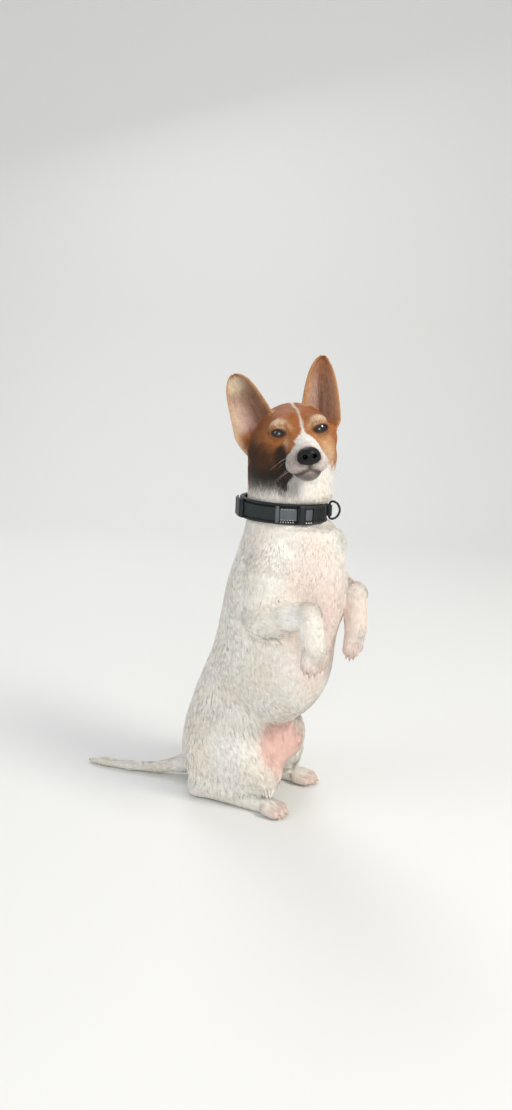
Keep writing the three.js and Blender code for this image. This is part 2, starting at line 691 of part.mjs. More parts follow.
// ---------------------------------------------------------------- the model
const COLOURS = {
  head: 0xb06a34,
  ear_left: 0x9a5a34,
  ear_right: 0x9a5a34,
  eye_left: 0x2a1c14,
  eye_right: 0x2a1c14,
  nose: 0x1c1a1a,
  collar_band: 0x17191b,
  collar_strap: 0x2b3a36,
  collar_slider: 0x121315,
  collar_sleeve: 0x8d9196,
  collar_buckle: 0x121315,
  collar_keeper: 0x17191b,
  collar_ring: 0x3a3c3e,
};
const COAT = 0xf1ece2;
const dog = new THREE.Group();
dog.name = "terrier";
for (const [name, solid] of Object.entries(pieces)) {
  const mesh = solid.getMesh();
  const geometry = new THREE.BufferGeometry();
  const positions = [];
  for (let i = 0; i < mesh.numVert; i++) positions.push(...mesh.position(i));
  geometry.setAttribute("position", new THREE.Float32BufferAttribute(positions, 3));
  geometry.setIndex([...mesh.triVerts]);
  geometry.computeVertexNormals();
  const material = new THREE.MeshStandardMaterial({
    color: COLOURS[name] ?? COAT,
    roughness: name === "nose" || name.startsWith("eye") ? 0.3 : 0.85,
    metalness: name === "collar_ring" ? 1 : 0,
  });
  const part = new THREE.Mesh(geometry, material);
  part.name = name;
  dog.add(part);
}

// The row's origin is the middle of the underside.
const bounds = new THREE.Box3().setFromObject(dog);
const middle = bounds.getCenter(new THREE.Vector3());
dog.position.set(-middle.x, -middle.y, -bounds.min.z);

export default dog;
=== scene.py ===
# %% [markdown]
# # A small terrier, sitting up
# This lesson dresses a plain block model of a dog. The block model gives every size and place.
# We replace its faceted flesh with one smooth skin, then add eyes, a nose, claws, whiskers,
# a short coat made of many small tufts, and a padded collar.

# %% Load the block model
import math

import bpy
import numpy as np
from mathutils import Matrix, Vector, kdtree


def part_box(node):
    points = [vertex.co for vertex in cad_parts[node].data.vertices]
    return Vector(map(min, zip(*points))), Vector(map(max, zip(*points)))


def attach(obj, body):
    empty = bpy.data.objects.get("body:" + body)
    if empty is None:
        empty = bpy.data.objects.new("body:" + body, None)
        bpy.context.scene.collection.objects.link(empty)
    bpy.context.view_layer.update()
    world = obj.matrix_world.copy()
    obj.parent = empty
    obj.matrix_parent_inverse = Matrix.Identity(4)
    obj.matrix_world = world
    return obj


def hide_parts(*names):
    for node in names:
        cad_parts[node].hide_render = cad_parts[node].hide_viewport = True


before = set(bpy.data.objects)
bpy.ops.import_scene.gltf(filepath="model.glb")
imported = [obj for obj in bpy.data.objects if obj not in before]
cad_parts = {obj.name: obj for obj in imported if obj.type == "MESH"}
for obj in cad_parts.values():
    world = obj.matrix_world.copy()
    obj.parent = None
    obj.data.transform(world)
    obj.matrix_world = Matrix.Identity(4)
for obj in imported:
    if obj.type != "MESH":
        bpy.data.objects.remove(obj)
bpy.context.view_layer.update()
rng = np.random.default_rng(7)
FLESH = [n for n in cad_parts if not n.startswith(("collar", "eye", "nose"))]
print("flesh nodes", len(FLESH))

# %% [markdown]
# The forms below are given in millimetres in the drawing's own frame, where the dog's chest
# faces -Y and its left side is +X. The collar band is a full ring round a known centre, so the
# middle of its box tells us how far the block model was moved from that frame.

# %% Where the drawing's frame lies
COLLAR_CENTRE = np.array([-5.4, -40.6, 331.0])
low, high = (np.array(corner) * 1000 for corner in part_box("collar_band"))
shift = (low + high) / 2 - COLLAR_CENTRE
shift[2] = 0.0


def to_scene(points):
    return (np.asarray(points, float) + shift) / 1000


print("moved by", shift.round(2), "mm")

# %% [markdown]
# Colours are written as the hex values a painter would pick on a screen. Shaders work in linear
# light, so one function turns them. Another adds a shader node with its settings and links, and
# a third turns arrays of corners and faces into an object.

# %% Small helpers
def linear(hex_colour):
    channels = np.array([int(hex_colour[i : i + 2], 16) for i in (1, 3, 5)]) / 255
    return np.where(channels <= 0.04045, channels / 12.92, ((channels + 0.055) / 1.055) ** 2.4)


def add(material, kind, settings=None, **links):
    """Adds one node. `settings` are its own properties; each link is a socket name and either
    a value or another node's output."""
    node = material.node_tree.nodes.new(kind)
    for key, value in (settings or {}).items():
        setattr(node, key, value)
    for name, value in links.items():
        socket = node.inputs[int(name[1:])] if name[0] == "_" else node.inputs[name.replace("_", " ")]
        if isinstance(value, bpy.types.NodeSocket):
            material.node_tree.links.new(value, socket)
        else:
            socket.default_value = value
    return node


def new_material(name, colour, roughness, **values):
    material = bpy.data.materials.new(name)
    material.use_nodes = True
    shader = material.node_tree.nodes["Principled BSDF"]
    shader.inputs["Base Color"].default_value = (*linear(colour), 1)
    shader.inputs["Roughness"].default_value = roughness
    for key, value in values.items():
        shader.inputs[key.replace("_", " ")].default_value = value
    return material, shader


def mesh_object(name, points, faces, material=None, smooth=True):
    """`points` in drawing millimetres, `faces` an (n, 3) or (n, 4) array of corner numbers.
    A closed piece whose faces look inwards has them turned round."""
    mesh = bpy.data.meshes.new(name)
    points, faces = np.asarray(points, float), np.asarray(faces, np.int32)
    a, b, c = (points[faces[:, i]] for i in range(3))
    if (np.cross(b - a, c - a) * (a - points.mean(0))).sum() < 0:
        faces = np.ascontiguousarray(faces[:, ::-1])
    sides = faces.shape[1]
    mesh.vertices.add(len(points))
    mesh.vertices.foreach_set("co", to_scene(points).astype(np.float32).ravel())
    mesh.loops.add(faces.size)
    mesh.loops.foreach_set("vertex_index", faces.ravel())
    mesh.polygons.add(len(faces))
    mesh.polygons.foreach_set("loop_start", np.arange(0, faces.size, sides, dtype=np.int32))
    mesh.polygons.foreach_set("use_smooth", np.full(len(faces), smooth))
    mesh.update(calc_edges=True)
    if material:
        mesh.materials.append(material)
    made = bpy.data.objects.new(name, mesh)
    bpy.context.scene.collection.objects.link(made)
    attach(made, "root")
    return made


print("mid grey #808080 is", linear("#808080")[0].round(3), "in linear light")

# %% [markdown]
# ## Forms
# A soft body is easiest to describe as a distance field: a function that says how far a point
# is from the surface, negative inside. Rounded bones and eggs are simple fields, and a soft
# minimum melts them into each other the way muscle runs over bone. Each function takes an
# array of points, so that numpy works on a million of them at once.

# %% Distance fields
def bone(a, b, ra, rb):
    a, b = np.array(a, float), np.array(b, float)
    ab = b - a

    def form(p):
        t = np.clip((p - a) @ ab / (ab @ ab), 0, 1)
        return np.linalg.norm(p - a - t[:, None] * ab, axis=1) - (ra + (rb - ra) * t)

    return form


def egg(centre, radii, lean=0):
    turn = np.array(Matrix.Rotation(math.radians(lean), 3, "X"))
    centre, radii = np.array(centre, float), np.array(radii, float)

    def form(p):
        local = (p - centre) @ turn / radii
        k = np.linalg.norm(local, axis=1)
        slope = np.linalg.norm(local / radii, axis=1)
        return k * (k - 1) / np.maximum(slope, 1e-6)

    return form


ball = egg([0, 0, 0], [10, 10, 10])
print("field of a 10 mm ball, 12 mm from its middle:", ball(np.array([[12.0, 0, 0]]))[0].round(2))

# %% [markdown]
# `blend` melts forms together. Its first argument says how wide the melt is, in millimetres:
# a broad one for muscle on muscle, a narrow one for toes that only touch.

# %% Melt forms together
def soft_min(d, e, soft):
    h = np.maximum(soft - np.abs(d - e), 0) / soft
    return np.minimum(d, e) - h * h * soft / 4


def blend(soft, *forms):
    def form(p):
        d = forms[0](p)
        for other in forms[1:]:
            d = soft_min(d, other(p), soft)
        return d

    return form


joint = blend(6, bone([-20, 0, 0], [0, 0, 0], 5, 5), bone([0, 0, 0], [0, 20, 0], 5, 5))
print("inside the bend the melt adds", -joint(np.array([[-5.0, 5, 0]]))[0].round(2), "mm")

# %% [markdown]
# Parts such as the head are drawn in a frame of their own and then set in place. `both` makes a
# left and a right form. `onto` walks points down the slope of a field until they lie on its
# surface.

# %% Frames, sides and slopes
def in_frame(matrix, form):
    m = np.array(matrix.inverted())
    return lambda p: form(p @ m[:3, :3].T + m[:3, 3])


def both(make):
    return [make(-1), make(1)]


def sided(point, side):
    return [point[0] * side, point[1], point[2]]


def turned(axis, degrees):
    return Matrix.Rotation(math.radians(degrees), 4, axis)


def slope_of(form, p, step=0.4):
    e = np.eye(3) * step
    return np.stack([form(p + e[i]) - form(p - e[i]) for i in range(3)], axis=1) / (2 * step)


def onto(form, p, steps=2):
    """Points moved onto the surface of a form."""
    p = np.atleast_2d(np.asarray(p, float)).copy()
    for _ in range(steps):
        g = slope_of(form, p)
        p -= g * (form(p) / np.maximum((g * g).sum(1), 0.05))[:, None]
    return p


print("a point moved onto the ball:", onto(ball, [12.0, 5, 0])[0].round(1))

# %% [markdown]
# The trunk leans forward from the hips, and the hips and the head have frames of their own,
# since the dog looks to its right while its hips face a little to its left.

# %% The trunk and the hips
LEAN = 15
PELVIS = Matrix.Translation((10, 22, 0)) @ turned("Z", 22)
HEAD = (
    Matrix.Translation((-2.3, -48.2, 404)) @ turned("Z", -40) @ turned("X", -5) @ turned("Y", -9)
)
torso = blend(
    20,
    egg([0, -38, 238], [55, 61, 98], LEAN),
    egg([3, -68, 240], [38, 46, 66], LEAN),
    *both(lambda side: egg([39 * side, -45, 256], [20, 31, 44], LEAN)),
    egg([8, -33, 171], [54, 63, 77], 12),
    bone([6, 25, 110], [2, -32, 264], 47, 33),
    in_frame(PELVIS, egg([0, 14, 60], [46, 50, 64], 10)),
    in_frame(PELVIS, egg([0, -43, 75], [32, 36, 36])),
    bone([1, -47, 290], [-3.2, -43.8, 380], 46, 44.2),
)
HIP, HOCK, FOOT_BALL, TOE_TIP = [32, 10, 74], [42, 28, 11.5], [46, -54, 8.5], [48, -74, 5.5]
KNEE = {1: [40, -43, 41], -1: [40, -48, 40]}


def thigh(side):
    form = blend(
        14,
        bone(sided(HIP, side), sided(KNEE[side], side), 38, 22),
        egg([38 * side, -4, 47], [26, 52, 43]),
    )
    return in_frame(PELVIS, form)


FORELEGS = {
    -1: dict(
        shoulder=[-44, -62, 276], elbow=[-46, -57, 226], wrist=[-45, -118, 240],
        knuckle=[-45, -128, 208], tip=[-45, -127, 188], turn=-15,
    ),
    1: dict(
        shoulder=[44, -60, 290], elbow=[54, -52, 250], wrist=[31, -112, 250],
        knuckle=[30, -117, 214], tip=[31, -114, 188], turn=0,
    ),
}
upper_arms = [bone(leg["shoulder"], leg["elbow"], 24, 18) for leg in FORELEGS.values()]
trunk = blend(10, blend(24, torso, *both(thigh)), *upper_arms)
heart = np.array([[0.0, -40, 240]])
print("the heart lies", -trunk(heart)[0].round(), "mm inside the chest")

# %% [markdown]
# ## Legs
# The forelegs hang folded at the wrist. Each paw ends in four toes that lie side by side with
# a crease between them, so the toes are melted together less than the muscles are.

# %% Paws, feet and tail
def toe_lines(root, tip, root_step, tip_step, turn=0):
    across, lines = np.array([math.cos(math.radians(turn)), math.sin(math.radians(turn)), 0]), []
    back = np.array(root, float) - tip
    back *= 4 / np.linalg.norm(back)
    for i in (-1.5, -0.5, 0.5, 1.5):
        end = np.array(tip, float) + across * i * tip_step
        lines.append((np.array(root, float) + across * i * root_step, end + back * (abs(i) > 1)))
    return lines


def toes(lines, radius):
    pads = [bone(a * 0.75 + b * 0.25, b, radius, radius * 0.9) for a, b in lines]
    return blend(1.6, *pads)


fore_lines = {
    s: toe_lines(leg["knuckle"], leg["tip"], 5.6, 6.1, leg["turn"]) for s, leg in FORELEGS.items()
}
hind_lines = {s: toe_lines(sided(FOOT_BALL, s), sided(TOE_TIP, s), 6.3, 7) for s in (-1, 1)}


def foreleg(side):
    leg = {k: np.array(v, float) for k, v in FORELEGS[side].items() if k != "turn"}
    middle = (leg["elbow"] + leg["wrist"]) / 2
    return blend(
        4,
        bone(leg["elbow"], leg["wrist"], 17, 13),
        bone(leg["elbow"], middle, 17.5, 16),
        bone(leg["wrist"], leg["knuckle"], 13.5, 12.3),
        toes(fore_lines[side], 6.4),
    )


def hindfoot(side):
    knee, hock = np.array(KNEE[side], float), np.array(HOCK, float)
    shank = knee + 0.4 * (hock - knee)
    form = blend(
        6,
        bone(sided(shank, side), sided(HOCK, side), 14, 12),
        bone(sided(HOCK, side), sided(FOOT_BALL, side), 12, 10),
        toes(hind_lines[side], 6.5),
    )
    return in_frame(PELVIS, form)


TAIL = [
    ([0, 40, 22], 14), ([-4, 66, 15], 10.5), ([-12, 92, 8], 7),
    ([-20, 126, 5.5], 6.2), ([-24, 158, 5], 5.4), ([-25, 176, 3.6], 3.6),
]
tail_bones = [bone(a, b, ra, rb) for (a, ra), (b, rb) in zip(TAIL, TAIL[1:])]
tail = in_frame(PELVIS, blend(5, *tail_bones))
forelegs = [foreleg(-1), foreleg(1)]
hindfeet = [hindfoot(-1), hindfoot(1)]
print("toes on each foot:", len(fore_lines[1]), "and", len(hind_lines[1]))

# %% [markdown]
# ## Head
# In the head's own frame the nose points to -Y and the crown to +Z. The skull is broad between
# the ears and narrows to the muzzle, with a step between the eyes called the stop. The lips
# hang a little over the jaw, and the brow makes a ridge over each eye.

# %% The skull, muzzle and jaw
skull = blend(
    10,
    egg([0, 20, 4], [36, 40, 30.5]),
    egg([0, -12, 8], [31, 25, 19]),
    *both(lambda side: egg([21 * side, -2, -15], [17.6, 30, 23])),
    *both(lambda side: egg([20.8 * side, 12, -28], [19.2, 28, 22])),
    *both(lambda side: egg([35 * side, 12, -4], [9.5, 13, 13])),
    bone([0, -28, -13], [0, -67, -20.8], 22, 14),
    *both(lambda side: egg([9.5 * side, -61, -26], [11, 16, 9])),
    bone([0, -25, -29], [0, -58, -32.5], 14, 8),
)
brows = both(lambda side: egg([16.2 * side, -30, 14], [11, 8, 6]))
nose_to_nape = np.array([[0, y, -5] for y in range(-100, 80)], float)
print("skull and muzzle are", int((skull(nose_to_nape) < 0).sum()), "mm long at the level of the eyes")

# %% [markdown]
# Each eye is a ball in a socket. The lids are a thin shell round it with an almond-shaped
# opening, whose rim is a soft cord of bare dark skin.

# %% Eyes and lids
EYE_RADIUS = 9.0
EYES = {"right": np.array([-19.4, -27.8, 4.8]), "left": np.array([19.4, -27.8, 4.8])}
ALMOND = (6.3, 4.3, 3.4)  # half-width, height above and depth below, in mm


def eye_axes(side):
    """The way the eye looks, then towards its outer corner, then up."""
    look = np.array([0.30 * side, -1, 0.04])
    look /= np.linalg.norm(look)
    outward = np.cross(look, [0, 0, 1]) * -side
    outward /= np.linalg.norm(outward)
    up = np.cross(look, outward) * side
    tilt = math.radians(7)  # the outer corner sits higher
    outward, up = (
        outward * math.cos(tilt) + up * math.sin(tilt),
        up * math.cos(tilt) - outward * math.sin(tilt),
    )
    return look, outward, up


def lid_parts(name):
    centre = EYES[name]
    side = 1 if name == "left" else -1
    look, outward, up = eye_axes(side)
    wide, above, below = ALMOND
    shell = egg(centre + look * 0.3, [EYE_RADIUS + 2.7] * 3)
    across = np.linspace(-wide, wide, 11)
    rims = []
    for height in (above, -below):
        b = height * (1 - (across / wide) ** 2)
        forward = np.sqrt((EYE_RADIUS + 0.5) ** 2 - across**2 - b**2)
        line = centre + forward[:, None] * look + across[:, None] * outward + b[:, None] * up
        rims += [bone(p, q, 1.0, 1.0) for p, q in zip(line, line[1:])]

    def opening(p):
        local = p - centre
        a, b, f = local @ outward, local @ up, local @ look
        edge = np.where(b > 0, above, below) * (1 - (a / wide) ** 2)
        return np.maximum(np.abs(b) - edge, 2 - f)

    ball = egg(centre, [EYE_RADIUS + 0.15] * 3)
    return shell, blend(0.6, *rims), opening, ball


LIDS = {name: lid_parts(name) for name in EYES}
shells = [parts[0] for parts in LIDS.values()]
head_flesh = blend(5, skull, *brows, *shells)
print("each eye opens", 2 * ALMOND[0], "by", ALMOND[1] + ALMOND[2], "mm")

# %% [markdown]
# The ears are big, thin and pricked: a curved leaf, cupped towards the front and widest a
# third of the way up. First come the places on the leaf: `u` runs from the root to the tip and
# `v` from one edge to the other.

# %% Places on an ear
EARS = {
    "left": ([27, 13, 5], [37.5, 21.5, 76], [0.3, -1, 0.1]),
    "right": ([-32, 13, 4], [-52.5, 22, 67], [-0.3, -1, 0.1]),
}
EAR_LOBE = {"left": 0.02, "right": 0.2}  # how far the outer edge starts below the root
# Each edge stands off the axis by (mm, change with height, change with height squared).
OUTER_EDGE = {"left": (20.5, -0.1, -0.5), "right": (26, -0.6, 0)}
INNER_EDGE = {"left": (22, -0.1, -0.45), "right": (21.5, -0.35, -0.1)}


def unit(v):
    v = np.asarray(v, float)
    return v / np.linalg.norm(v, axis=-1, keepdims=True)


def ear_axes(name):
    root, tip, facing = (np.array(v, float) for v in EARS[name])
    length = np.linalg.norm(tip - root)
    up = (tip - root) / length
    out = unit(np.cross(facing, up))
    return root, up, out, np.cross(up, out), length


def ear_width(name, u, across):
    """Half the width at a height u; the outer edge starts lower and stays fuller."""
    outer = (across > 0) if name == "right" else (across < 0)
    lobe = EAR_LOBE[name]
    start = np.sqrt(np.clip((u + lobe) / (lobe + 0.12), 0, 1))
    rise = np.sin(np.clip(u / 0.3, 0, 1) * math.pi / 2)
    waist = np.where(outer, 0.5 + 0.5 * start, 0.72 + 0.28 * rise)
    a, b, c = (np.where(outer, *pair) for pair in zip(OUTER_EDGE[name], INNER_EDGE[name]))
    return a * waist * (1 + b * u + c * u * u) * np.sqrt(1 - u**8)


def ear_place(name, p):
    """How far up the ear a point is (0 to 1), how far across (-1 to 1), and in front of it."""
    root, up, out, front, length = ear_axes(name)
    local = p - root
    u = np.clip(local @ up / length, -EAR_LOBE[name], 0.996)
    across = local @ out
    width = ear_width(name, u, across)
    v = np.clip(across / width, -1, 1)
    return u, v, width, local @ up, local @ out, local @ front


def ear_sheet(u, v):
    return -((15 * (1 - u) + 3) * (1 - v * v) - 5)


def ear_point(name, u, v, lift=0.0):
    root, up, out, front, length = ear_axes(name)
    width = float(ear_width(name, u, v))
    return root + up * u * length + out * v * width + front * (ear_sheet(u, v) + lift)


for name in EARS:
    widest = ear_width(name, 0.3, np.array([-1.0, 1.0])).sum()
    print(name, "ear:", ear_axes(name)[-1].round(), "mm long and", widest.round(), "mm wide")

# %% [markdown]
# The field of a leaf is the distance to its curved middle sheet, less half its thickness. Soft
# folds run up inside each ear from its root.

# %% Make the ears
def ear(name):
    length, folds = ear_axes(name)[-1], []
    for v, top in ((-0.4, 0.55), (0.12, 0.42), (0.55, 0.3)):
        line = [ear_point(name, u, v * (1 - 0.4 * u), 0.5) for u in np.linspace(0.08, top, 5)]
        folds += [bone(p, q, 1.9, 1.3) for p, q in zip(line, line[1:])]

    def form(p):
        u, v, width, a, b, c = ear_place(name, p)
        lean = (15 * (1 - u) + 3) * 2 * np.abs(v) / width
        sheet = np.abs(c - ear_sheet(u, v)) / np.sqrt(1 + lean**2)
        beyond = np.maximum(np.abs(b) - width, 0)
        start = EAR_LOBE[name] * np.clip(v if name == "right" else -v, 0, 1)
        past = np.maximum(np.maximum(a - 0.996 * length, -a - start * length), 0)
        thick = 1.0 + 0.9 * (1 - v * v) * (1 - 0.5 * u)
        return np.sqrt(sheet**2 + beyond**2 + past**2) - thick

    return blend(2.5, form, *folds)


ears = {name: ear(name) for name in EARS}
half_up = np.array([ear_point("left", 0.5, 0.0)])
print("the left ear is about", -2 * ears["left"](half_up)[0].round(1), "mm thick halfway up")

# %% [markdown]
# The nose leather sits on the end of the muzzle. It is a separate piece with its own finish, so
# the skin only needs a bed for it. The mouth is a fine groove under the lips, which runs down
# from the nose and back to both corners. The groove's points are first moved onto the skin.

# %% Nose bed and mouth
NOSE_PLACE, NOSE_RADII = np.array([0, -77, -18.0]), np.array([10.8, 8, 8.5])
nose_bed = egg(NOSE_PLACE, NOSE_RADII - 0.4)
chin = egg([0, -62, -36], [9, 8.5, 6])
muzzle = blend(5, skull, chin)
MOUTH = [
    [0, -80, -30.5], [5, -77.5, -32.8], [11, -70, -35],
    [15.5, -58, -35.5], [18, -45, -34], [19, -38, -32.5],
]
lip_lines = []
for side in (-1, 1):
    line = onto(muzzle, [sided(p, side) for p in MOUTH], 3)
    lip_lines += [bone(p, q, 1.1, 1.1) for p, q in zip(line, line[1:])]
philtrum = onto(muzzle, [[0, -82, -25], [0, -81, -28], MOUTH[0]], 3)
lip_lines += [bone(p, q, 0.8, 0.9) for p, q in zip(philtrum, philtrum[1:])]
mouth_line = blend(0.5, *lip_lines)
print("mouth drawn with", len(lip_lines), "short bones")

# %% [markdown]
# The skin lies inside the block model by the depth of the coat: about 3 mm on the trunk, less
# on the head and legs, and under 1 mm on the bare groin. Where two parts meet, the depth
# changes softly. Behind the elbow a broad fold of skin joins the arm to the flank, so the two
# melt together further there. Then the lids, nose bed and mouth are cut with soft edges.

# %% The whole skin
COAT = {"trunk": 3.2, "head": 1.5, "foreleg": 1.7, "hindfoot": 1.4, "tail": 2.0}
GROIN = np.array([8, -46, 77])  # bare skin between the thighs
ELBOW_FOLD, FOLD_REACH = 15, 24  # extra softness behind the elbow, and how far it reaches, in mm
SOLE_HEIGHT = 0.5  # the skin stops this far above the floor, in mm


def soft_max(d, e, soft):
    return -soft_min(-d, -e, soft)


def trunk_coat(p):
    bare = np.exp(-(np.linalg.norm((p - GROIN) / [32, 30, 34], axis=1) ** 4))
    front = np.exp(-((p[:, 0] - 6) ** 2) / 900) * np.clip((-p[:, 1] - 60) / 30, 0, 1)
    return COAT["trunk"] * (1 - 0.75 * bare) * (1 - 0.35 * front)


def in_head(p):
    m = np.array(HEAD.inverted())
    return p @ m[:3, :3].T + m[:3, 3]


def groups(p):
    q = in_head(p)
    return {
        "trunk": trunk(p),
        "head": head_flesh(q),
        "foreleg": np.minimum(forelegs[0](p), forelegs[1](p)),
        "hindfoot": np.minimum(hindfeet[0](p), hindfeet[1](p)),
        "tail": tail(p),
    }, q


def skin(p):
    parts, q = groups(p)
    nearest = np.min(list(parts.values()), axis=0)
    weights = {k: np.exp(-np.minimum(d - nearest, 60) / 5) for k, d in parts.items()}
    coat = COAT["head"] * weights["head"] + trunk_coat(p) * weights["trunk"]
    coat += sum(COAT[k] * weights[k] for k in ("foreleg", "hindfoot", "tail"))
    coat /= sum(weights.values())
    d = soft_min(parts["trunk"], parts["head"], 8)
    folds = [np.array(leg["elbow"]) - [0, 6, 0] for leg in FORELEGS.values()]
    to_fold = np.min([np.linalg.norm(p - fold, axis=1) for fold in folds], axis=0)
    d = soft_min(d, parts["foreleg"], 5 + ELBOW_FOLD * np.exp(-((to_fold / FOLD_REACH) ** 2)))
    d = soft_min(d, parts["hindfoot"], 6)
    d = soft_min(d, parts["tail"], 8) + coat
    near = parts["head"] < 60
    if near.any():
        d[near] = finish_head(d[near], q[near])
    return np.maximum(d, SOLE_HEIGHT - p[:, 2])


def finish_head(d, q):
    d = soft_min(d, chin(q) + 1.2, 6)
    for form in ears.values():
        d = soft_min(d, form(q), 5)
    for _, rims, opening, ball in LIDS.values():
        d = soft_max(d, -opening(q), 1.0)
        d = soft_min(d, rims(q), 1.6)
        d = np.maximum(d, -ball(q))
    d = soft_max(d, -nose_bed(q), 1.0)
    return soft_max(d, -mouth_line(q), 1.4)


print("depth of the coat in mm:", COAT)

# %% [markdown]
# ## From field to mesh
# Surface nets put one corner in each small cube that the surface passes through, and one
# four-sided face round each grid edge that it crosses. Big blocks far from the surface are
# skipped after one look. Last, each corner is moved onto the exact surface.

# %% Surface nets
CORNERS = np.array([[c & 1, (c >> 1) & 1, c >> 2] for c in range(8)])
EDGES = [
    (a, b) for a in range(8) for b in range(a + 1, 8)
    if np.abs(CORNERS[a] - CORNERS[b]).sum() == 1
]


def surface(form, low, high, cell, block=8, reach=1.35):
    low = np.asarray(low, float)
    count = np.ceil((np.asarray(high) - low) / (cell * block)).astype(int)
    middles = np.stack(np.meshgrid(*[np.arange(n) + 0.5 for n in count], indexing="ij"), -1)
    rough = form(low + middles.reshape(-1, 3) * cell * block).reshape(count)
    value = np.repeat(np.repeat(np.repeat(rough, block, 0), block, 1), block, 2)
    near = np.argwhere(np.abs(rough) < reach * block * cell)
    local = np.stack(np.meshgrid(*[np.arange(block)] * 3, indexing="ij"), -1).reshape(-1, 3)
    for part in np.array_split(near, max(1, len(near) // 400)):
        at = (part[:, None, :] * block + local[None]).reshape(-1, 3)
        value[tuple(at.T)] = form(low + at * cell)
    inside = value < 0
    total = sum(
        inside[a : a + s[0], b : b + s[1], c : c + s[2]].astype(np.int8)
        for s in [np.array(inside.shape) - 1] for a, b, c in CORNERS
    )
    cells = np.argwhere((total > 0) & (total < 8))
    corner = np.stack([value[tuple((cells + c).T)] for c in CORNERS], 1)
    place, hits = np.zeros((len(cells), 3)), np.zeros(len(cells))
    for a, b in EDGES:
        crossed = (corner[:, a] < 0) != (corner[:, b] < 0)
        t = corner[crossed, a] / (corner[crossed, a] - corner[crossed, b])
        place[crossed] += CORNERS[a] + t[:, None] * (CORNERS[b] - CORNERS[a])
        hits[crossed] += 1
    points = low + (cells + place / hits[:, None]) * cell
    number = np.full(total.shape, -1, np.int32)
    number[tuple(cells.T)] = np.arange(len(cells))
    faces = []
    for axis in range(3):
        u, v = np.eye(3, dtype=int)[(axis + 1) % 3], np.eye(3, dtype=int)[(axis + 2) % 3]
        ahead = np.roll(inside, -1, axis)
        crossing = inside != ahead
        crossing[tuple(slice(-1, None) if i == axis else slice(None) for i in range(3))] = False
        at = np.argwhere(crossing)
        at = at[(at[:, (axis + 1) % 3] > 0) & (at[:, (axis + 2) % 3] > 0)]
        at = at[(at < np.array(number.shape)).all(1)]
        quad = np.stack([number[tuple((at - s).T)] for s in (u + v, v, 0 * u, u)], 1)
        leaving = inside[tuple(at.T)]
        quad[~leaving] = quad[~leaving][:, ::-1]
        faces.append(quad)
    faces = np.concatenate(faces)
    return points, faces[(faces >= 0).all(1)]


def settled(form, points, cell, steps=2):
    """Corners moved onto the surface, none by more than its own cell."""
    moved = points.copy()
    for part in np.array_split(np.arange(len(points)), max(1, len(points) // 40000)):
        moved[part] = onto(form, points[part], steps)
    step = moved - points
    far = np.linalg.norm(step, axis=1)
    return points + step * np.minimum(1, cell * 0.8 / np.maximum(far, 1e-9))[:, None]


print("a cube has", len(CORNERS), "corners and", len(EDGES), "edges")

# %% [markdown]
# The collar is snug. Its band presses the skin in, and the neck bulges a little above and
# below it. The press is a narrow waist: a ring inside the band that opens towards both edges.

# %% Press the neck in under the collar
COLLAR_RADII, COLLAR_HALF, BAND_THICKNESS = np.array([43.0, 45.5]), 10.0, 4.5


def waist(p):
    radii = COLLAR_RADII - BAND_THICKNESS - 0.6
    local = (p[:, :2] - COLLAR_CENTRE[:2]) / radii
    ring = (np.linalg.norm(local, axis=1) - 1) * radii.mean()
    beyond = np.maximum(np.abs(p[:, 2] - COLLAR_CENTRE[2]) - COLLAR_HALF + 1, 0)
    return ring - 2.2 * beyond


def collared_skin(p):
    d = skin(p)
    near = np.abs(p[:, 2] - COLLAR_CENTRE[2]) < 20
    if near.any():
        d[near] = soft_max(d[near], waist(p[near]), 3)
    return d


print("band inside:", *(2 * (COLLAR_RADII - BAND_THICKNESS)), "mm across")

# %% [markdown]
# The head needs finer detail than the trunk, so the skin is netted in two runs that meet under
# the collar, where nothing of the seam can show.

# %% Make the skin's corners and faces
SEAM = COLLAR_CENTRE[2]
FINE, COARSE = ((0.95, 1.9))
HEAD_BOX = [-85, -140, SEAM - 3], [75, 40, 492]
BODY_BOX = [-115, -150, -4], [120, 215, SEAM + 4]


def skin_above(p):
    return np.maximum(collared_skin(p), SEAM + 0.1 - p[:, 2])


def skin_below(p):
    return np.maximum(collared_skin(p), p[:, 2] - SEAM + 0.1)


head_points, head_faces = surface(skin_above, *HEAD_BOX, FINE)
head_points = settled(skin_above, head_points, FINE)
body_points, body_faces = surface(skin_below, *BODY_BOX, COARSE)
body_points = settled(skin_below, body_points, COARSE)
skin_points = np.concatenate([head_points, body_points])
skin_faces = np.concatenate([head_faces, body_faces + len(head_points)])
print("skin:", len(skin_points), "corners,", len(skin_faces), "faces")

# %% [markdown]
# ## Markings
# One function gives the colour of the coat at any place, and both the skin and the tufts ask
# it, so they always agree. It starts from white, then lays patches over it: tan on the head, a
# dark right cheek that is a real marking made darker by painted shade, a left cheek made paler
# by painted sunlight, cream brows, a thin white blaze, a white muzzle greyed by painted shade
# on its right, and pink where the coat is thin. Painted shade also darkens the cream throat and
# the hollows of the ears, and painted light brightens the right ear. A patch is an egg-shaped
# region with a soft edge. A little slow noise keeps every edge from looking ruled.

# %% Coat colours
BLAZE_MIDDLE = 2.0  # mm to the left of the middle of the head
HAIR = {
    name: linear(colour)
    for name, colour in dict(
        white="#f1ede5", warm="#ebe2d2", pink="#ecc6ba", groin="#dfb1a4", cool="#dcdee2",
        tan="#ad6c39", deep_tan="#8b502a", light_tan="#d6a577", cream="#e6d2b4",
        dark="#161715", brown="#4a3020", black="#1a1513", grey="#96928e", lip="#3f312e",
        ear_pink="#dcb8aa", ear_skin="#a17a63", ear_hollow_shade="#6a4838",
    ).items()
}
waves = rng.normal(size=(8, 3))
waves /= np.linalg.norm(waves, axis=1, keepdims=True)
phases = rng.uniform(0, 6.28, 8)


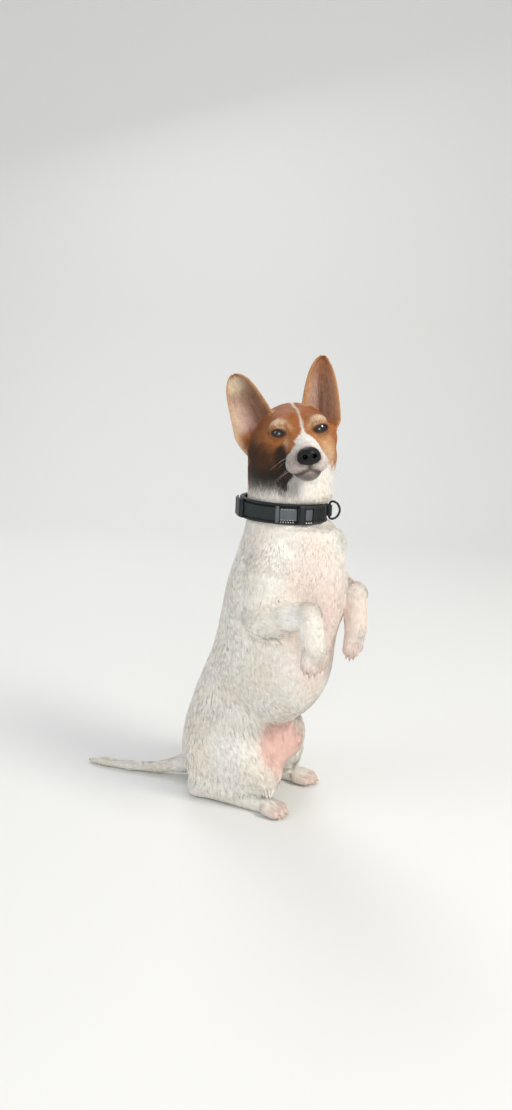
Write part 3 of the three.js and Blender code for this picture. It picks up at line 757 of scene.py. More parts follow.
def slow_noise(p, size, start=0):
    """Smooth numbers between about -1 and 1 that vary over `size` mm."""
    total = 0
    for i in range(4):
        k = (i + start) % 8
        total = total + np.sin(p @ waves[k] * 6.28 / (size * (1 + 0.4 * i)) + phases[k])
    return total / 2.6


def patch(q, centre, radii, edge=0.15, ragged=None, tilt=0):
    """1 inside an egg, 0 outside, with a soft edge given as a share of its size."""
    local = q - np.array(centre, float)
    if tilt:
        local = local @ np.array(Matrix.Rotation(math.radians(tilt), 3, "Y"))
    k = np.linalg.norm(local / np.array(radii, float), axis=1)
    if ragged is not None:
        k = k + ragged
    return 1 / (1 + np.exp(np.clip((k - 1) / edge * 2.5, -30, 30)))


def step(x, edge):
    return 1 / (1 + np.exp(np.clip(-x / edge * 2.5, -30, 30)))


def lay(colour, name, amount):
    amount = np.asarray(amount)[:, None]
    return colour * (1 - amount) + HAIR[name] * amount


print(len(HAIR), "colours of hair and skin")

# %% [markdown]
# The ears are tan behind. In front they are nearly bare: pinkish grey skin shows, darkened along
# the middle by painted shade in the hollow of the cup, with tan hair round the rim. On the right
# ear the outer part is paler: a real cream edge, and a pale pink that is painted light shining
# through the thin ear over its pink skin. The cream near its tip is a painted highlight of
# sunlit hair.

# %% Colour of the ears
def on_ear(u, outer, centre, radii, edge):
    """A patch on the ear's sheet: `u` runs from root to tip, `outer` from inner to outer rim."""
    return patch(np.stack([u, outer, 0 * u], 1), [*centre, 0], [*radii, 9], edge)


def inside_right(u, outer, ragged):
    colour = np.tile(HAIR["ear_skin"], (len(u), 1))
    # painted shade in the hollow of the right ear, along its inner, lower part
    colour = lay(colour, "ear_hollow_shade", 0.6 * step(-outer - 0.05 + ragged, 0.4) * step(0.7 - u, 0.3))
    colour = lay(colour, "brown", 0.3 * step(u - 0.62 + ragged, 0.2))
    # painted light over real pink skin: the outer, lower part of the right ear is paler, as if lit
    # through the thin ear
    pale = step(outer - 0.18 + 0.5 * ragged, 0.3) * step(0.60 - u, 0.12)
    colour = lay(colour, "ear_pink", 0.95 * pale)
    colour = lay(colour, "cream", 0.5 * step(outer - 0.62, 0.2) * step(0.58 - u, 0.15))
    # painted highlight: the cream near the tip of the right ear is sunlit hair
    colour = lay(colour, "cream", 0.9 * on_ear(u, outer, [0.90, 0.35], [0.20, 0.9], 0.5))
    return lay(colour, "deep_tan", 0.6 * step(0.14 - u, 0.08))


def inside_left(u, outer):
    colour = np.tile(HAIR["ear_skin"], (len(u), 1))
    # painted shade down the middle of the cupped left ear
    colour = lay(colour, "ear_hollow_shade", 0.6 * on_ear(u, outer, [0.42, 0.15], [0.42, 0.5], 0.3))
    colour = lay(colour, "ear_pink", 0.5 * on_ear(u, outer, [0.38, -0.45], [0.42, 0.4], 0.3))
    colour = lay(colour, "light_tan", 0.55 * step(-outer - 0.55, 0.3))
    return lay(colour, "deep_tan", 0.7 * step(u - 0.72, 0.2))


def ear_colour(name, q, ragged):
    """Colours on one ear at head places q, and how far towards its tip each place is."""
    u, v, _, a, _, c = ear_place(name, q)
    front = step(c - ear_sheet(u, v), 0.9)
    outer = v if name == "right" else -v
    colour = np.tile(HAIR["tan"], (len(q), 1))
    colour = lay(colour, "deep_tan", 0.5 * step(u - 0.5 + ragged, 0.4))
    inside = front * step(0.93 - np.abs(v), 0.10) * step(a - 7, 5) * step(0.96 - u, 0.04)
    inner = inside_right(u, outer, ragged) if name == "right" else inside_left(u, outer)
    colour = colour * (1 - inside[:, None]) + inner * inside[:, None]
    rim = step(np.abs(v) - 0.9, 0.1) * front
    colour = lay(colour, "light_tan", 0.7 * rim)
    if name == "right":
        colour = lay(colour, "cream", 0.6 * rim * step(outer, 0.2) * step(0.6 - u, 0.2))
    return colour, u


for name in EARS:
    near_tip = np.array([ear_point(name, 0.9, 0.0)])
    print(name, "ear near its tip:", ear_colour(name, near_tip, 0)[0][0].round(2))

# %% [markdown]
# On the head the white muzzle narrows to a thin blaze between the eyes, a little to the left of
# the middle. The tan ends in an oblique line from the jaw to the nape.

# %% The white blaze
def blaze_half(q):
    """Half the width of the white, from the nose back along the muzzle and up the forehead."""
    y, z = q[:, 1], q[:, 2]
    ahead = np.clip((-y - 41) / 13, 0, 1) * np.clip((4 - z) / 9, 0.35, 1)
    on_left = q[:, 0] > BLAZE_MIDDLE
    spread = np.where(on_left, 0.72, 0.5 + 0.45 * np.clip((-y - 44) / 10, 0, 1))
    low = np.maximum(-8 - z, 0) * spread
    left = np.where(on_left, 10 * np.clip((-z - 13) / 9, 0, 1), 0)
    crown = 2.2 * np.clip((y - 2) / 10, 0, 1)
    return 0.9 + 9.5 * ahead + low + left + crown


muzzle_top = np.array([[BLAZE_MIDDLE, -60, -10]])
print("white on top of the muzzle:", 2 * blaze_half(muzzle_top)[0].round(1), "mm wide")

# %% [markdown]
# Under the white lie the tan, its deeper and lighter places, and the dark right cheek, which is
# five overlapping patches with ragged edges. The lighter tan and cream on the left cheek are
# painted sunlight. The black and brown of the right cheek are a real dark marking, made darker
# still as painted shade, since that side of the head lies in shade.

# %% Tan and dark cheek
# The right cheek: a real black-brown marking, made darker than the hair itself as painted shade, since
# this side of the head lies in shade. The brown patches below are the same.
DARK_CHEEK_AND_SHADE = [
    ([-33, -24, -33], [17, 19, 24], 0.16), ([-40, -10, -25], [15, 18, 27], 0.16),
    ([-16, -53, -25], [8, 13, 13], 0.25), ([-20, -42, -22], [10, 14, 17], 0.2),
    ([-18, -38, -40], [13, 18, 14], 0.2),
]
BROWN_CHEEK_AND_SHADE = [
    ([-32, -24, -13], [15, 18, 11], 0.4, 0.85), ([-45, -2, -6], [12, 12, 14], 0.4, 0.7),
    ([-38, -8, 10], [12, 18, 20], 0.5, 0.5),
]


def head_base(q, ragged):
    """The head's colour before the eyes, the blaze and the mouth are added."""
    x, y, z = q.T
    border = -37 - 10.5 * np.tanh(-x / 16) + 16 * step(y - 14, 14) + 60 * ragged
    border = border + 26 * step(y - 7, 7) * step(-x - 24, 8)
    tan = step(z - border, 3.0)
    colour = np.tile(HAIR["white"], (len(q), 1))
    # partly real cream, partly painted shade: under the jaw the white turns a warmer, darker white,
    # most on the left side, where the throat lies in shade
    colour = lay(colour, "warm", 0.5 * step(-z - 30, 10) * step(x + 10, 20))
    colour = lay(colour, "tan", tan)
    colour = lay(colour, "deep_tan", 0.65 * tan * step(slow_noise(q, 26, 2) * 6 + z - 10, 14))
    # painted sunlight: the left cheek is paler, with lighter tan and cream, where the sun fell on it
    colour = lay(colour, "light_tan", 0.7 * tan * patch(q, [20, -33, -14], [15, 22, 14], 0.4))
    colour = lay(colour, "cream", 0.35 * tan * patch(q, [24, -34, -19], [11, 15, 9], 0.5))
    right = step(-x - 6, 3)
    cheek = np.max([patch(q, at, radii, edge, ragged) for at, radii, edge in DARK_CHEEK_AND_SHADE], axis=0) * right
    # painted shade on a real marking: the right cheek's black and brown are darker than the hair itself
    colour = lay(colour, "dark", 0.975 * cheek * np.maximum(tan, step(z + 55, 3)))
    for at, radii, edge, amount in BROWN_CHEEK_AND_SHADE:
        colour = lay(colour, "brown", amount * right * tan * patch(q, at, radii, edge, ragged))
    return colour


cheek_place = np.array([[-33.0, -24, -33]])
print("right cheek:", head_base(cheek_place, np.zeros(1))[0].round(3), "in linear light")

# %% [markdown]
# Round each eye the lids are black with a brown edge, and a cream arch lies over them like an
# eyebrow. The same ellipse of the lids' rim later keeps hair out of the eye.

# %% Colour round the eyes
LID_RIM = 8.7, 4.8  # half the width and half the height of the bare lids, in mm


def eye_rim(local, outward, up):
    """0 in the middle of the eye's opening, 1 on the edge of its bare lids."""
    return np.hypot((local @ outward + 0.9) / LID_RIM[0], (local @ up - 0.3) / LID_RIM[1])


def round_eye(colour, q, side, ragged):
    look, outward, up = eye_axes(side)
    local = q - EYES["left" if side > 0 else "right"]
    a, b = local @ outward, local @ up
    front = step(local @ look - 2, 2)
    arch = np.abs(b - 9.2 + 0.03 * (a + 1) ** 2) / 3.2
    arch = np.hypot(arch, (a + 1) / 10) + 2 * ragged
    colour = lay(colour, "cream", 0.72 * front / (1 + np.exp((arch - 1) * 4)))
    rim = eye_rim(local, outward, up) + 0.3 * ragged
    brown_lid = front / (1 + np.exp(np.clip((rim - 1.1) * 14, -30, 30)))
    black_lid = front / (1 + np.exp(np.clip((rim - 0.90) * 20, -30, 30)))
    return lay(lay(colour, "brown", 0.45 * brown_lid), "black", 0.92 * black_lid)


print("bare lids:", 2 * LID_RIM[0], "by", 2 * LID_RIM[1], "mm")

# %% [markdown]
# The white is laid over the tan, greyer where it is thin and at the lips. On the right side of
# the muzzle the grey is painted shade, and partly the dark cheek's hair showing through the thin
# white. On the right half of the bridge it is painted shade. The mouth line and the bed of the
# nose are dark.

# %% Colour of the head
def head_colour(q):
    ragged = 0.05 * slow_noise(q, 5) + 0.07 * slow_noise(q, 13, 3)
    x, y, z = q.T
    colour = head_base(q, ragged)
    for side in (-1, 1):
        colour = round_eye(colour, q, side, ragged)
    colour = lay(colour, "cream", 0.36 * patch(q, [-12.5, -43, -7], [2.4, 7, 6], 0.5, ragged))
    half = blaze_half(q) * (1 + 1.2 * ragged)
    white = step(half - np.abs(x - BLAZE_MIDDLE), 0.9) * step(y + 100, 1)
    white = white * np.where((y > -40) & (z < 0), step(-z - 22, 3), 1)
    thin = 1 - 0.57 * step(y + 36, 8) + 0.3 * step(y + 12, 8)
    colour = lay(colour, "white", white * thin * step(34 - y, 8))
    colour = lay(colour, "grey", 0.35 * white * step(-y - 60, 8) * step(-z - 22, 4))
    # painted shade: the white on the right side of the muzzle is greyed, partly also the dark cheek
    # hair showing through; the next line greys the right half of the bridge as painted shade
    colour = lay(colour, "grey", 0.75 * white * step(-x - 6, 5) * step(-z - 14, 8))
    colour = lay(colour, "grey", 0.3 * white * step(1 - x, 4) * step(-y - 46, 6))
    colour = lay(colour, "ear_pink", 0.28 * white * step(-y - 66, 5))
    lips = np.exp(-((np.maximum(mouth_line(q), 0) / 2.1) ** 2))
    colour = lay(colour, "lip", 0.7 * patch(q, [1, -70, -36.5], [11, 8, 4.2], 0.35, ragged))
    colour = lay(colour, "lip", 0.92 * np.clip(lips, 0, 1))
    bed = np.exp(-np.maximum(nose_bed(q), 0) / 1.1)
    return lay(colour, "black", 0.8 * np.clip(bed, 0, 1))


print("forehead:", head_colour(np.array([[16.0, -20, 22]]))[0].round(2), "in linear light")

# %% [markdown]
# Last, the whole animal. The head's colours fade into the white of the neck below the jaw, and
# the trunk is white with pink where the skin shows through. The throat is cream, made darker
# as painted shade.

# %% Colour anywhere
PINK = [
    ([-18, -95, 262], [26, 40, 44], 0.34), ([2, -100, 205], [24, 40, 62], 0.36),
    ([-34, -95, 218], [14, 30, 24], 0.22), ([30, -100, 232], [16, 34, 34], 0.30),
]
TOE_TIPS = [line[1] for s in (-1, 1) for line in fore_lines[s]]
TOE_TIPS += [np.array(PELVIS @ Vector(line[1])) for s in (-1, 1) for line in hind_lines[s]]


def markings(p):
    colour = np.tile(HAIR["white"], (len(p), 1))
    ragged = 0.12 * slow_noise(p, 22) + 0.06 * slow_noise(p, 7, 2)
    colour = lay(colour, "warm", np.clip(0.35 + 0.4 * slow_noise(p, 34, 1), 0, 1))
    for centre, radii, amount in PINK:
        colour = lay(colour, "pink", amount * patch(p, centre, radii, 0.5, ragged))
    # partly real cream, partly painted shade: the front of the neck under the jaw is a darker cream, as
    # it lies in shade
    throat_cream_and_shade = patch(p, [2, -88, 362], [34, 30, 30], 0.4, ragged)
    colour = lay(colour, "cream", 0.32 * throat_cream_and_shade)
    bare = patch(p, GROIN, [30, 30, 31], 0.22, ragged) * step(p[:, 0] + 21, 3)
    colour = lay(colour, "groin", 0.88 * bare)
    for form in (*forelegs, *hindfeet):
        near = form(p) < 3
        if near.any():
            far = np.min([np.linalg.norm(p[near] - tip, axis=1) for tip in TOE_TIPS], axis=0)
            colour[near] = lay(colour[near], "pink", 0.6 * np.exp(-((far / 12) ** 2)))
    q = in_head(p)
    head = head_flesh(q)
    near = (head < 16) & (p[:, 2] > SEAM + 8)
    if near.any():
        here = head_colour(q[near])
        below = step(p[near, 2] - SEAM - 13, 4) * step(13 - head[near], 4)
        colour[near] = colour[near] * (1 - below[:, None]) + here * below[:, None]
    for name, form in ears.items():
        d = form(q)
        near = (d < 5) & (q[:, 2] > -16)
        if near.any():
            soft = 0.12 * slow_noise(q[near], 9)
            here, u = ear_colour(name, q[near], soft)
            clear = np.maximum(step(u - 0.07, 0.05), step(head[near] - d[near] - 2, 1.5))
            share = step(4 - d[near], 1.5) * clear
            colour[near] = colour[near] * (1 - share[:, None]) + here * share[:, None]
    return colour


skin_colours = markings(skin_points)
print("colours for", len(skin_colours), "corners")

# %% [markdown]
# ## Skin material
# Living skin under short hair has no hard shine. The colour comes from the markings, stored
# on the corners. Short flat hair, too fine to model everywhere, is drawn as bump: noise that
# is stretched down the body, at about two strands to a millimetre on the real dog but drawn
# about three times coarser so that it shows, with a broader unevenness beneath.

# %% The skin's material
def store_colours(mesh, name, colours):
    layer = mesh.color_attributes.new(name, "FLOAT_COLOR", "POINT")
    rgba = np.ones((len(colours), 4), np.float32)
    rgba[:, :3] = np.clip(colours, 0, 1)
    layer.data.foreach_set("color", rgba.ravel())


def skin_like(name, roughness, streak_mm, depth_mm, **values):
    material, shader = new_material(name, "#e6e0d6", roughness, **values)
    marks = add(material, "ShaderNodeVertexColor", {"layer_name": "Markings"})
    where = add(material, "ShaderNodeTexCoord")
    stretch = add(
        material, "ShaderNodeMapping", Vector=where.outputs["Object"],
        Scale=(1000 / streak_mm, 1000 / streak_mm, 250 / streak_mm),
    )
    strands = add(material, "ShaderNodeTexNoise", Vector=stretch.outputs[0], Scale=1.0, Detail=3.0)
    pores = add(material, "ShaderNodeTexNoise", Vector=where.outputs["Object"], Scale=180.0, Detail=4.0)
    shade = add(
        material, "ShaderNodeMapRange",
        Value=pores.outputs["Fac"], From_Min=0.3, From_Max=0.7, To_Min=0.90, To_Max=1.06,
    )
    tinted = add(
        material, "ShaderNodeVectorMath", {"operation": "SCALE"},
        _0=marks.outputs["Color"], Scale=shade.outputs["Result"],
    )
    bump = add(
        material, "ShaderNodeBump", Height=strands.outputs["Fac"], Strength=0.5,
        Distance=depth_mm / 1000,
    )
    fine = add(
        material, "ShaderNodeBump", Height=pores.outputs["Fac"], Strength=0.3,
        Distance=depth_mm / 2000, Normal=bump.outputs[0],
    )
    links = material.node_tree.links
    links.new(tinted.outputs[0], shader.inputs["Base Color"])
    links.new(fine.outputs[0], shader.inputs["Normal"])
    return material


skin_material = skin_like("skin_with_short_hair", 0.62, 1.6, 0.8, Specular_IOR_Level=0.3)
skin_piece = mesh_object("skin", skin_points, skin_faces, skin_material)
store_colours(skin_piece.data, "Markings", skin_colours)
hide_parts(*FLESH)
print("skin piece made")

# %% [markdown]
# ## Eyes
# Each eye is one wet ball with a slightly raised cornea. The iris is a warm dark brown with fine
# spokes, a black edge and a black pupil; the white hardly shows in a dog. A clear coat over the
# whole ball gives the wet highlight, which is what makes an eye look alive.

# %% Faces over a grid, and places in the head
def grid_faces(rows, columns, wrap=True):
    """Four-cornered faces over points laid out in rows, closed round if `wrap` is true."""
    last = columns if wrap else columns - 1
    i, j = (g.ravel() for g in np.meshgrid(np.arange(rows - 1), np.arange(last), indexing="ij"))
    k = (j + 1) % columns
    row, after = i * columns, (i + 1) * columns
    return np.stack([row + j, row + k, after + k, after + j], 1)


def from_head(q):
    m = np.array(HEAD)
    return np.asarray(q) @ m[:3, :3].T + m[:3, 3]


print("a ball of 64 rows of 72 points has", len(grid_faces(64, 72)), "faces")

# %% Material of the eyes
IRIS_RADIUS, PUPIL_RADIUS, CORNEA_RISE = 5.9, 2.9, 0.55
EYE_ROWS, EYE_COLUMNS = 64, 72
EYE_WHITE = "#8d7a70"  # brownish grey, as in most dogs
eye_material, eye_shader = new_material(
    "wet_eye", "#2a1a12", 0.12, Coat_Weight=1.0, Coat_Roughness=0.03, Specular_IOR_Level=0.5
)
iris_colours = add(eye_material, "ShaderNodeVertexColor", {"layer_name": "Iris"})
where = add(eye_material, "ShaderNodeTexCoord")
flecks = add(
    eye_material, "ShaderNodeTexNoise", Vector=where.outputs["Object"], Scale=1600.0, Detail=3.0
)
spread = add(
    eye_material, "ShaderNodeMapRange",
    Value=flecks.outputs["Fac"], From_Min=0.3, From_Max=0.7, To_Min=0.75, To_Max=1.2,
)
eye_tint = add(
    eye_material, "ShaderNodeVectorMath", {"operation": "SCALE"},
    _0=iris_colours.outputs["Color"], Scale=spread.outputs["Result"],
)
eye_material.node_tree.links.new(eye_tint.outputs[0], eye_shader.inputs["Base Color"])
print("material", eye_material.name)

# %% [markdown]
# Each ball is laid out in rings round the line of sight, so the iris and the pupil are simply
# bands of rings.

# %% Make the eyes
def iris_shade(reach, spin, in_front):
    """Colours on the ball at a reach from the line of sight, at an angle round it."""
    spokes = 0.72 + 0.28 * np.sin(spin * 23 + 2 * np.sin(spin * 5)) * np.sin(spin * 41 + 1)
    shade = np.tile(linear(EYE_WHITE), (len(reach), 1))
    iris = step(IRIS_RADIUS - reach, 0.5)[:, None]
    ring = np.clip((reach - PUPIL_RADIUS) / (IRIS_RADIUS - PUPIL_RADIUS), 0, 1)
    brown = linear("#5a3319") * (1 - ring[:, None] * 0.55) * spokes[:, None]
    shade = shade * (1 - iris) + brown * iris
    edge = np.exp(-(((reach - IRIS_RADIUS) / 0.7) ** 2))[:, None]
    shade = shade * (1 - 0.9 * edge) + linear("#0c0807") * 0.9 * edge
    pupil = step(PUPIL_RADIUS - reach, 0.3)[:, None]
    shade = shade * (1 - pupil) + linear("#050404") * pupil
    shade[~in_front] = linear(EYE_WHITE)
    return shade


for name, side in (("right", -1), ("left", 1)):
    look, outward, up = eye_axes(side)
    angles = np.linspace(0.01, math.pi - 0.01, EYE_ROWS)
    turns = np.linspace(0, 2 * math.pi, EYE_COLUMNS, endpoint=False)
    angle, spin = (g.ravel() for g in np.meshgrid(angles, turns, indexing="ij"))
    reach, in_front = EYE_RADIUS * np.sin(angle), angle <= math.pi / 2
    raised = CORNEA_RISE * np.clip(1 - (reach / (IRIS_RADIUS + 0.8)) ** 2, 0, 1) * in_front
    local = (
        np.cos(angle)[:, None] * look
        + np.sin(angle)[:, None] * (np.cos(spin)[:, None] * outward + np.sin(spin)[:, None] * up)
    )
    points = from_head(EYES[name] + local * (EYE_RADIUS + raised)[:, None])
    ball_faces = grid_faces(EYE_ROWS, EYE_COLUMNS)
    eyeball = mesh_object(f"eyeball_{name}", points, ball_faces, eye_material)
    store_colours(eyeball.data, "Iris", iris_shade(reach, spin, in_front))
    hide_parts(f"eye_{name}")
print("two eyes, radius", EYE_RADIUS, "mm")

# %% [markdown]
# ## Nose leather
# The nose is bare, moist, pebbled skin: a broad pad with two comma-shaped nostrils that open to
# the sides, and a groove down the middle. It is netted from its own small field at about
# 0.4 mm, fine enough for the nostril rims. The pebbles are cells about 0.9 mm across.

# %% Make the nose
NOSE_CELL = 0.42


def nose_form(q):
    p = q - NOSE_PLACE
    body = egg([0, 0, 0], NOSE_RADII)(p)
    wings = [wing(p) for wing in both(lambda side: egg([5.6 * side, 0.5, -2.4], [5.2, 6.6, 4.9]))]
    tip = egg([0, -2.4, 1.2], [6.2, 6.2, 5.2])(p)
    d = soft_min(soft_min(body, np.minimum(*wings), 2.5), tip, 2.5)
    for side in (-1, 1):
        bend = [9.4 * side, -4.6, -3.3]
        hole = bone([4.9 * side, -9.5, -0.9], [4.1 * side, -2.5, -0.2], 2.6, 1.6)(p)
        slit = bone([5.8 * side, -8.4, -1.9], bend, 1.5, 0.8)(p)
        slit = soft_min(slit, bone(bend, [10.7 * side, -1.0, -2.6], 0.65, 0.3)(p), 0.6)
        d = soft_max(d, -soft_min(hole, slit, 1.2), 0.9)
    groove = bone([0, -9.6, -1.2], [0, -7.6, -8.4], 0.42, 0.75)(p)
    return soft_max(d, -groove, 0.8)


net_cell = NOSE_CELL
nose_points, nose_faces = surface(nose_form, NOSE_PLACE - 15, NOSE_PLACE + 15, net_cell, 6)
nose_points = settled(nose_form, nose_points, NOSE_CELL)
nose_material, nose_shader = new_material(
    "nose_leather", "#0f0e0e", 0.45, Specular_IOR_Level=0.2, Coat_Weight=0.12, Coat_Roughness=0.2
)
where = add(nose_material, "ShaderNodeTexCoord")
pebbles = add(
    nose_material, "ShaderNodeTexVoronoi", {"feature": "SMOOTH_F1"},
    Vector=where.outputs["Object"], Scale=1000 / 0.9, Smoothness=0.4,
)
pebble_shade = add(
    nose_material, "ShaderNodeValToRGB", Fac=pebbles.outputs["Distance"],
)
pebble_shade.color_ramp.elements[0].color = (*linear("#100f10"), 1)
pebble_shade.color_ramp.elements[1].color = (*linear("#060506"), 1)
pebble_bump = add(
    nose_material, "ShaderNodeBump", {"invert": True}, Height=pebbles.outputs["Distance"],
    Strength=0.8, Distance=0.0004,
)
nose_material.node_tree.links.new(pebble_shade.outputs[0], nose_shader.inputs["Base Color"])
nose_material.node_tree.links.new(pebble_bump.outputs[0], nose_shader.inputs["Normal"])
nose_piece = mesh_object("nose_leather", from_head(nose_points), nose_faces, nose_material)
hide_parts("nose")
print("nose:", len(nose_faces), "faces")

# %% [markdown]
# ## Claws
# A dog's claw is a curved, slightly flattened cone that grows from the end of each toe. On a
# white paw it is pale horn with pinkish streaks. Each is a short tube along a bent path, thinner
# towards the point, and all of them are joined into one piece.

# %% Make the claws
def tube(path, radii, sides=8, flat=1.0):
    """Points and faces of a closed tube; it ends in points if its end radii are near nothing."""
    path = np.asarray(path, float)
    along = unit(np.gradient(path, axis=0))
    side = unit(np.cross(along, [0.31, 0.2, 0.93]))
    up = np.cross(side, along)
    a = np.linspace(0, 2 * math.pi, sides, endpoint=False)
    rings = path[:, None] + np.asarray(radii)[:, None, None] * (
        np.cos(a)[None, :, None] * side[:, None] * flat + np.sin(a)[None, :, None] * up[:, None]
    )
    return rings.reshape(-1, 3), grid_faces(len(path), sides)


def joined(parts):
    points, faces, start = [], [], 0
    for p, f in parts:
        points.append(p)
        faces.append(f + start)
        start += len(p)
    return np.concatenate(points), np.concatenate(faces)


def claw(root, tip, drop, frame_matrix=None):
    root, tip = np.array(root, float), np.array(tip, float)
    if frame_matrix is not None:
        root, tip = (np.array(frame_matrix @ Vector(v)) for v in (root, tip))
    along = unit(tip - root)
    down = np.array([0, 0, -1.0])
    t = np.linspace(0, 1, 12)[:, None]
    path = tip + along * (-1 + 6.6 * t) + unit(along + down * drop) * 2.6 * t
    path = path + down * 2.4 * drop * t**2
    path[:, 2] = np.maximum(path[:, 2], 1.0)  # none goes into the floor
    return tube(path, 2.5 * (1 - t[:, 0] ** 2.2) + 0.12, 10, 0.72)


claw_parts = [claw(*line, 0.5) for side in (-1, 1) for line in fore_lines[side]]
claw_parts += [claw(*line, 0.35, PELVIS) for side in (-1, 1) for line in hind_lines[side]]
claw_points, claw_faces = joined(claw_parts)
horn, horn_shader = new_material("pale_horn", "#d4c2a8", 0.38, Specular_IOR_Level=0.5)
where = add(horn, "ShaderNodeTexCoord")
streaks = add(horn, "ShaderNodeTexNoise", Vector=where.outputs["Object"], Scale=400.0, Detail=4.0)
horn_tone = add(horn, "ShaderNodeValToRGB", Fac=streaks.outputs["Fac"])
horn_tone.color_ramp.elements[0].color = (*linear("#b08f7c"), 1)
horn_tone.color_ramp.elements[1].color = (*linear("#e0d2bb"), 1)
horn.node_tree.links.new(horn_tone.outputs[0], horn_shader.inputs["Base Color"])
claws = mesh_object("claws", claw_points, claw_faces, horn)
print("claws:", len(claw_parts))

# %% [markdown]
# ## Unwrapping the skin
# A map of the skin is made for baking the coat's colours: the skin is cut into flat pieces by
# the direction its faces look and laid out side by side. Each tuft then takes a tiny patch of
# that map at the place where it grows.

# %% Unwrap the skin
skin_mesh = skin_piece.data
bpy.context.view_layer.objects.active = skin_piece
skin_piece.select_set(True)
bpy.ops.object.mode_set(mode="EDIT")
bpy.ops.mesh.select_all(action="SELECT")
bpy.ops.uv.smart_project(angle_limit=math.radians(70), island_margin=0.0004)
bpy.ops.object.mode_set(mode="OBJECT")
skin_piece.select_set(False)
skin_mesh.uv_layers[0].name = "OFBake"
unwrap = np.empty(len(skin_mesh.loops) * 2, np.float32)
skin_mesh.uv_layers[0].data.foreach_get("uv", unwrap)
corner_numbers = np.empty(len(skin_mesh.loops), np.int32)
skin_mesh.loops.foreach_get("vertex_index", corner_numbers)
face_corners = corner_numbers.reshape(-1, 4)
face_map = unwrap.reshape(-1, 4, 2)
print("unwrapped", len(face_map), "faces")

# %% [markdown]
# ## Which way the hair lies
# Hair grows backwards from the nose, over the head and down the neck. On the trunk it runs down
# the back, sweeps forward over the flank to the edge of the belly, and runs down the thigh. On
# a leg it follows the leg. A few guide arrows say this; between them the direction is their
# blend, turned a little by slow noise so that it never looks combed.

# %% The lie of the coat
GUIDES = [
    ([0, -85, 345], [0, -0.15, -1]), ([48, -45, 350], [0.1, -0.1, -1]),
    ([0, 4, 350], [0, 0.35, -1]), ([0, -108, 290], [0, 0.05, -1]),
    ([40, -95, 262], [0.2, 0.1, -1]), ([60, -60, 272], [0.1, 0.1, -1]),
    ([0, 20, 285], [0, 0.25, -1]), ([32, 18, 240], [0.1, 0.1, -1]),
    ([0, 45, 200], [0, 0.12, -1]), ([58, -20, 222], [0, -0.2, -1]),
    ([60, -20, 175], [0, -0.45, -1]), ([58, -10, 135], [0, -0.55, -1]),
    ([0, -105, 200], [0, 0.1, -1]), ([0, -95, 160], [0.05, -0.1, -1]),
    ([40, -70, 150], [-0.35, -0.7, -1]), ([30, -62, 125], [-0.5, -0.8, -0.7]),
    ([0, 70, 110], [0, 0.05, -1]), ([45, 22, 100], [0.05, -0.2, -1]),
    ([60, 5, 60], [0.05, -0.3, -1]), ([38, -48, 52], [-0.1, -0.4, -1]),
    ([40, 55, 55], [0.2, 0.3, -1]), ([8, -46, 76], [0, -0.3, -0.9]),
    ([50, -30, 95], [-0.2, -0.5, -1]),
]
guide_places = np.array([sided(at, s) for at, _ in GUIDES for s in (1, -1)], float)
guide_ways = unit([sided(way, s) for _, way in GUIDES for s in (1, -1)])


def along_line(p, line):
    """The way along the nearest stretch of a bent line, at each place."""
    best, way = np.full(len(p), 1e9), np.zeros((len(p), 3))
    for a, b in zip(line, line[1:]):
        a, b = np.array(a, float), np.array(b, float)
        ab = b - a
        t = np.clip((p - a) @ ab / (ab @ ab), 0, 1)
        d = np.linalg.norm(p - a - t[:, None] * ab, axis=1)
        nearer = d < best
        best[nearer], way[nearer] = d[nearer], ab / np.linalg.norm(ab)
    return way


def lie(p, q, share):
    """Unit directions of the hair at drawing places p, which are head places q."""
    d2 = ((p[:, None] - guide_places[None]) ** 2).sum(2)
    weight = np.exp(-(d2 - d2.min(1, keepdims=True)) / 900)
    way = weight @ guide_ways / weight.sum(1, keepdims=True)
    for side, leg in FORELEGS.items():
        line = [leg[k] for k in ("shoulder", "elbow", "wrist", "knuckle", "tip")]
        on_side = (p[:, 0] * side > 0)[:, None]
        way += 4 * share["foreleg"][:, None] * on_side * along_line(p, line)
    for side in (-1, 1):
        line = [PELVIS @ Vector(sided(v, side)) for v in (KNEE[side], HOCK)]
        foot = [PELVIS @ Vector(sided(v, side)) for v in (HOCK, FOOT_BALL, TOE_TIP)]
        for part in (line, foot):
            near = np.exp(-(np.linalg.norm(p - np.mean(np.array(part), 0), axis=1) / 40) ** 2)
            way += 3 * (share["hindfoot"] * near)[:, None] * along_line(p, part)
    way += 4 * share["tail"][:, None] * along_line(p, [PELVIS @ Vector(v) for v, _ in TAIL])
    turn_head = np.array(HEAD)[:3, :3]
    back = unit(q - [0, -84, -16])
    sink = np.clip((-q[:, 2] - 4) / 34, 0, 1) * np.clip((q[:, 1] + 66) / 40, 0, 1)
    back = unit(back + np.stack([0 * sink, 0 * sink, -1.1 * sink], 1))
    way += 5 * share["head"][:, None] * (back @ turn_head.T)
    for name in ears:
        _, up, out, _, _ = ear_axes(name)
        u, v = ear_place(name, q)[:2]
        fan = unit(up + 0.35 * v[:, None] * out * (1 - u)[:, None])
        way = way * (1 - share[name][:, None]) + 5 * share[name][:, None] * (fan @ turn_head.T)
    sway = np.stack([slow_noise(p, 30, i) for i in (0, 2, 4)], 1) * 0.16
    sway += np.stack([slow_noise(p, 11, i) for i in (1, 3, 5)], 1) * 0.09
    return unit(unit(way) + sway)


print(len(guide_places), "guide arrows")

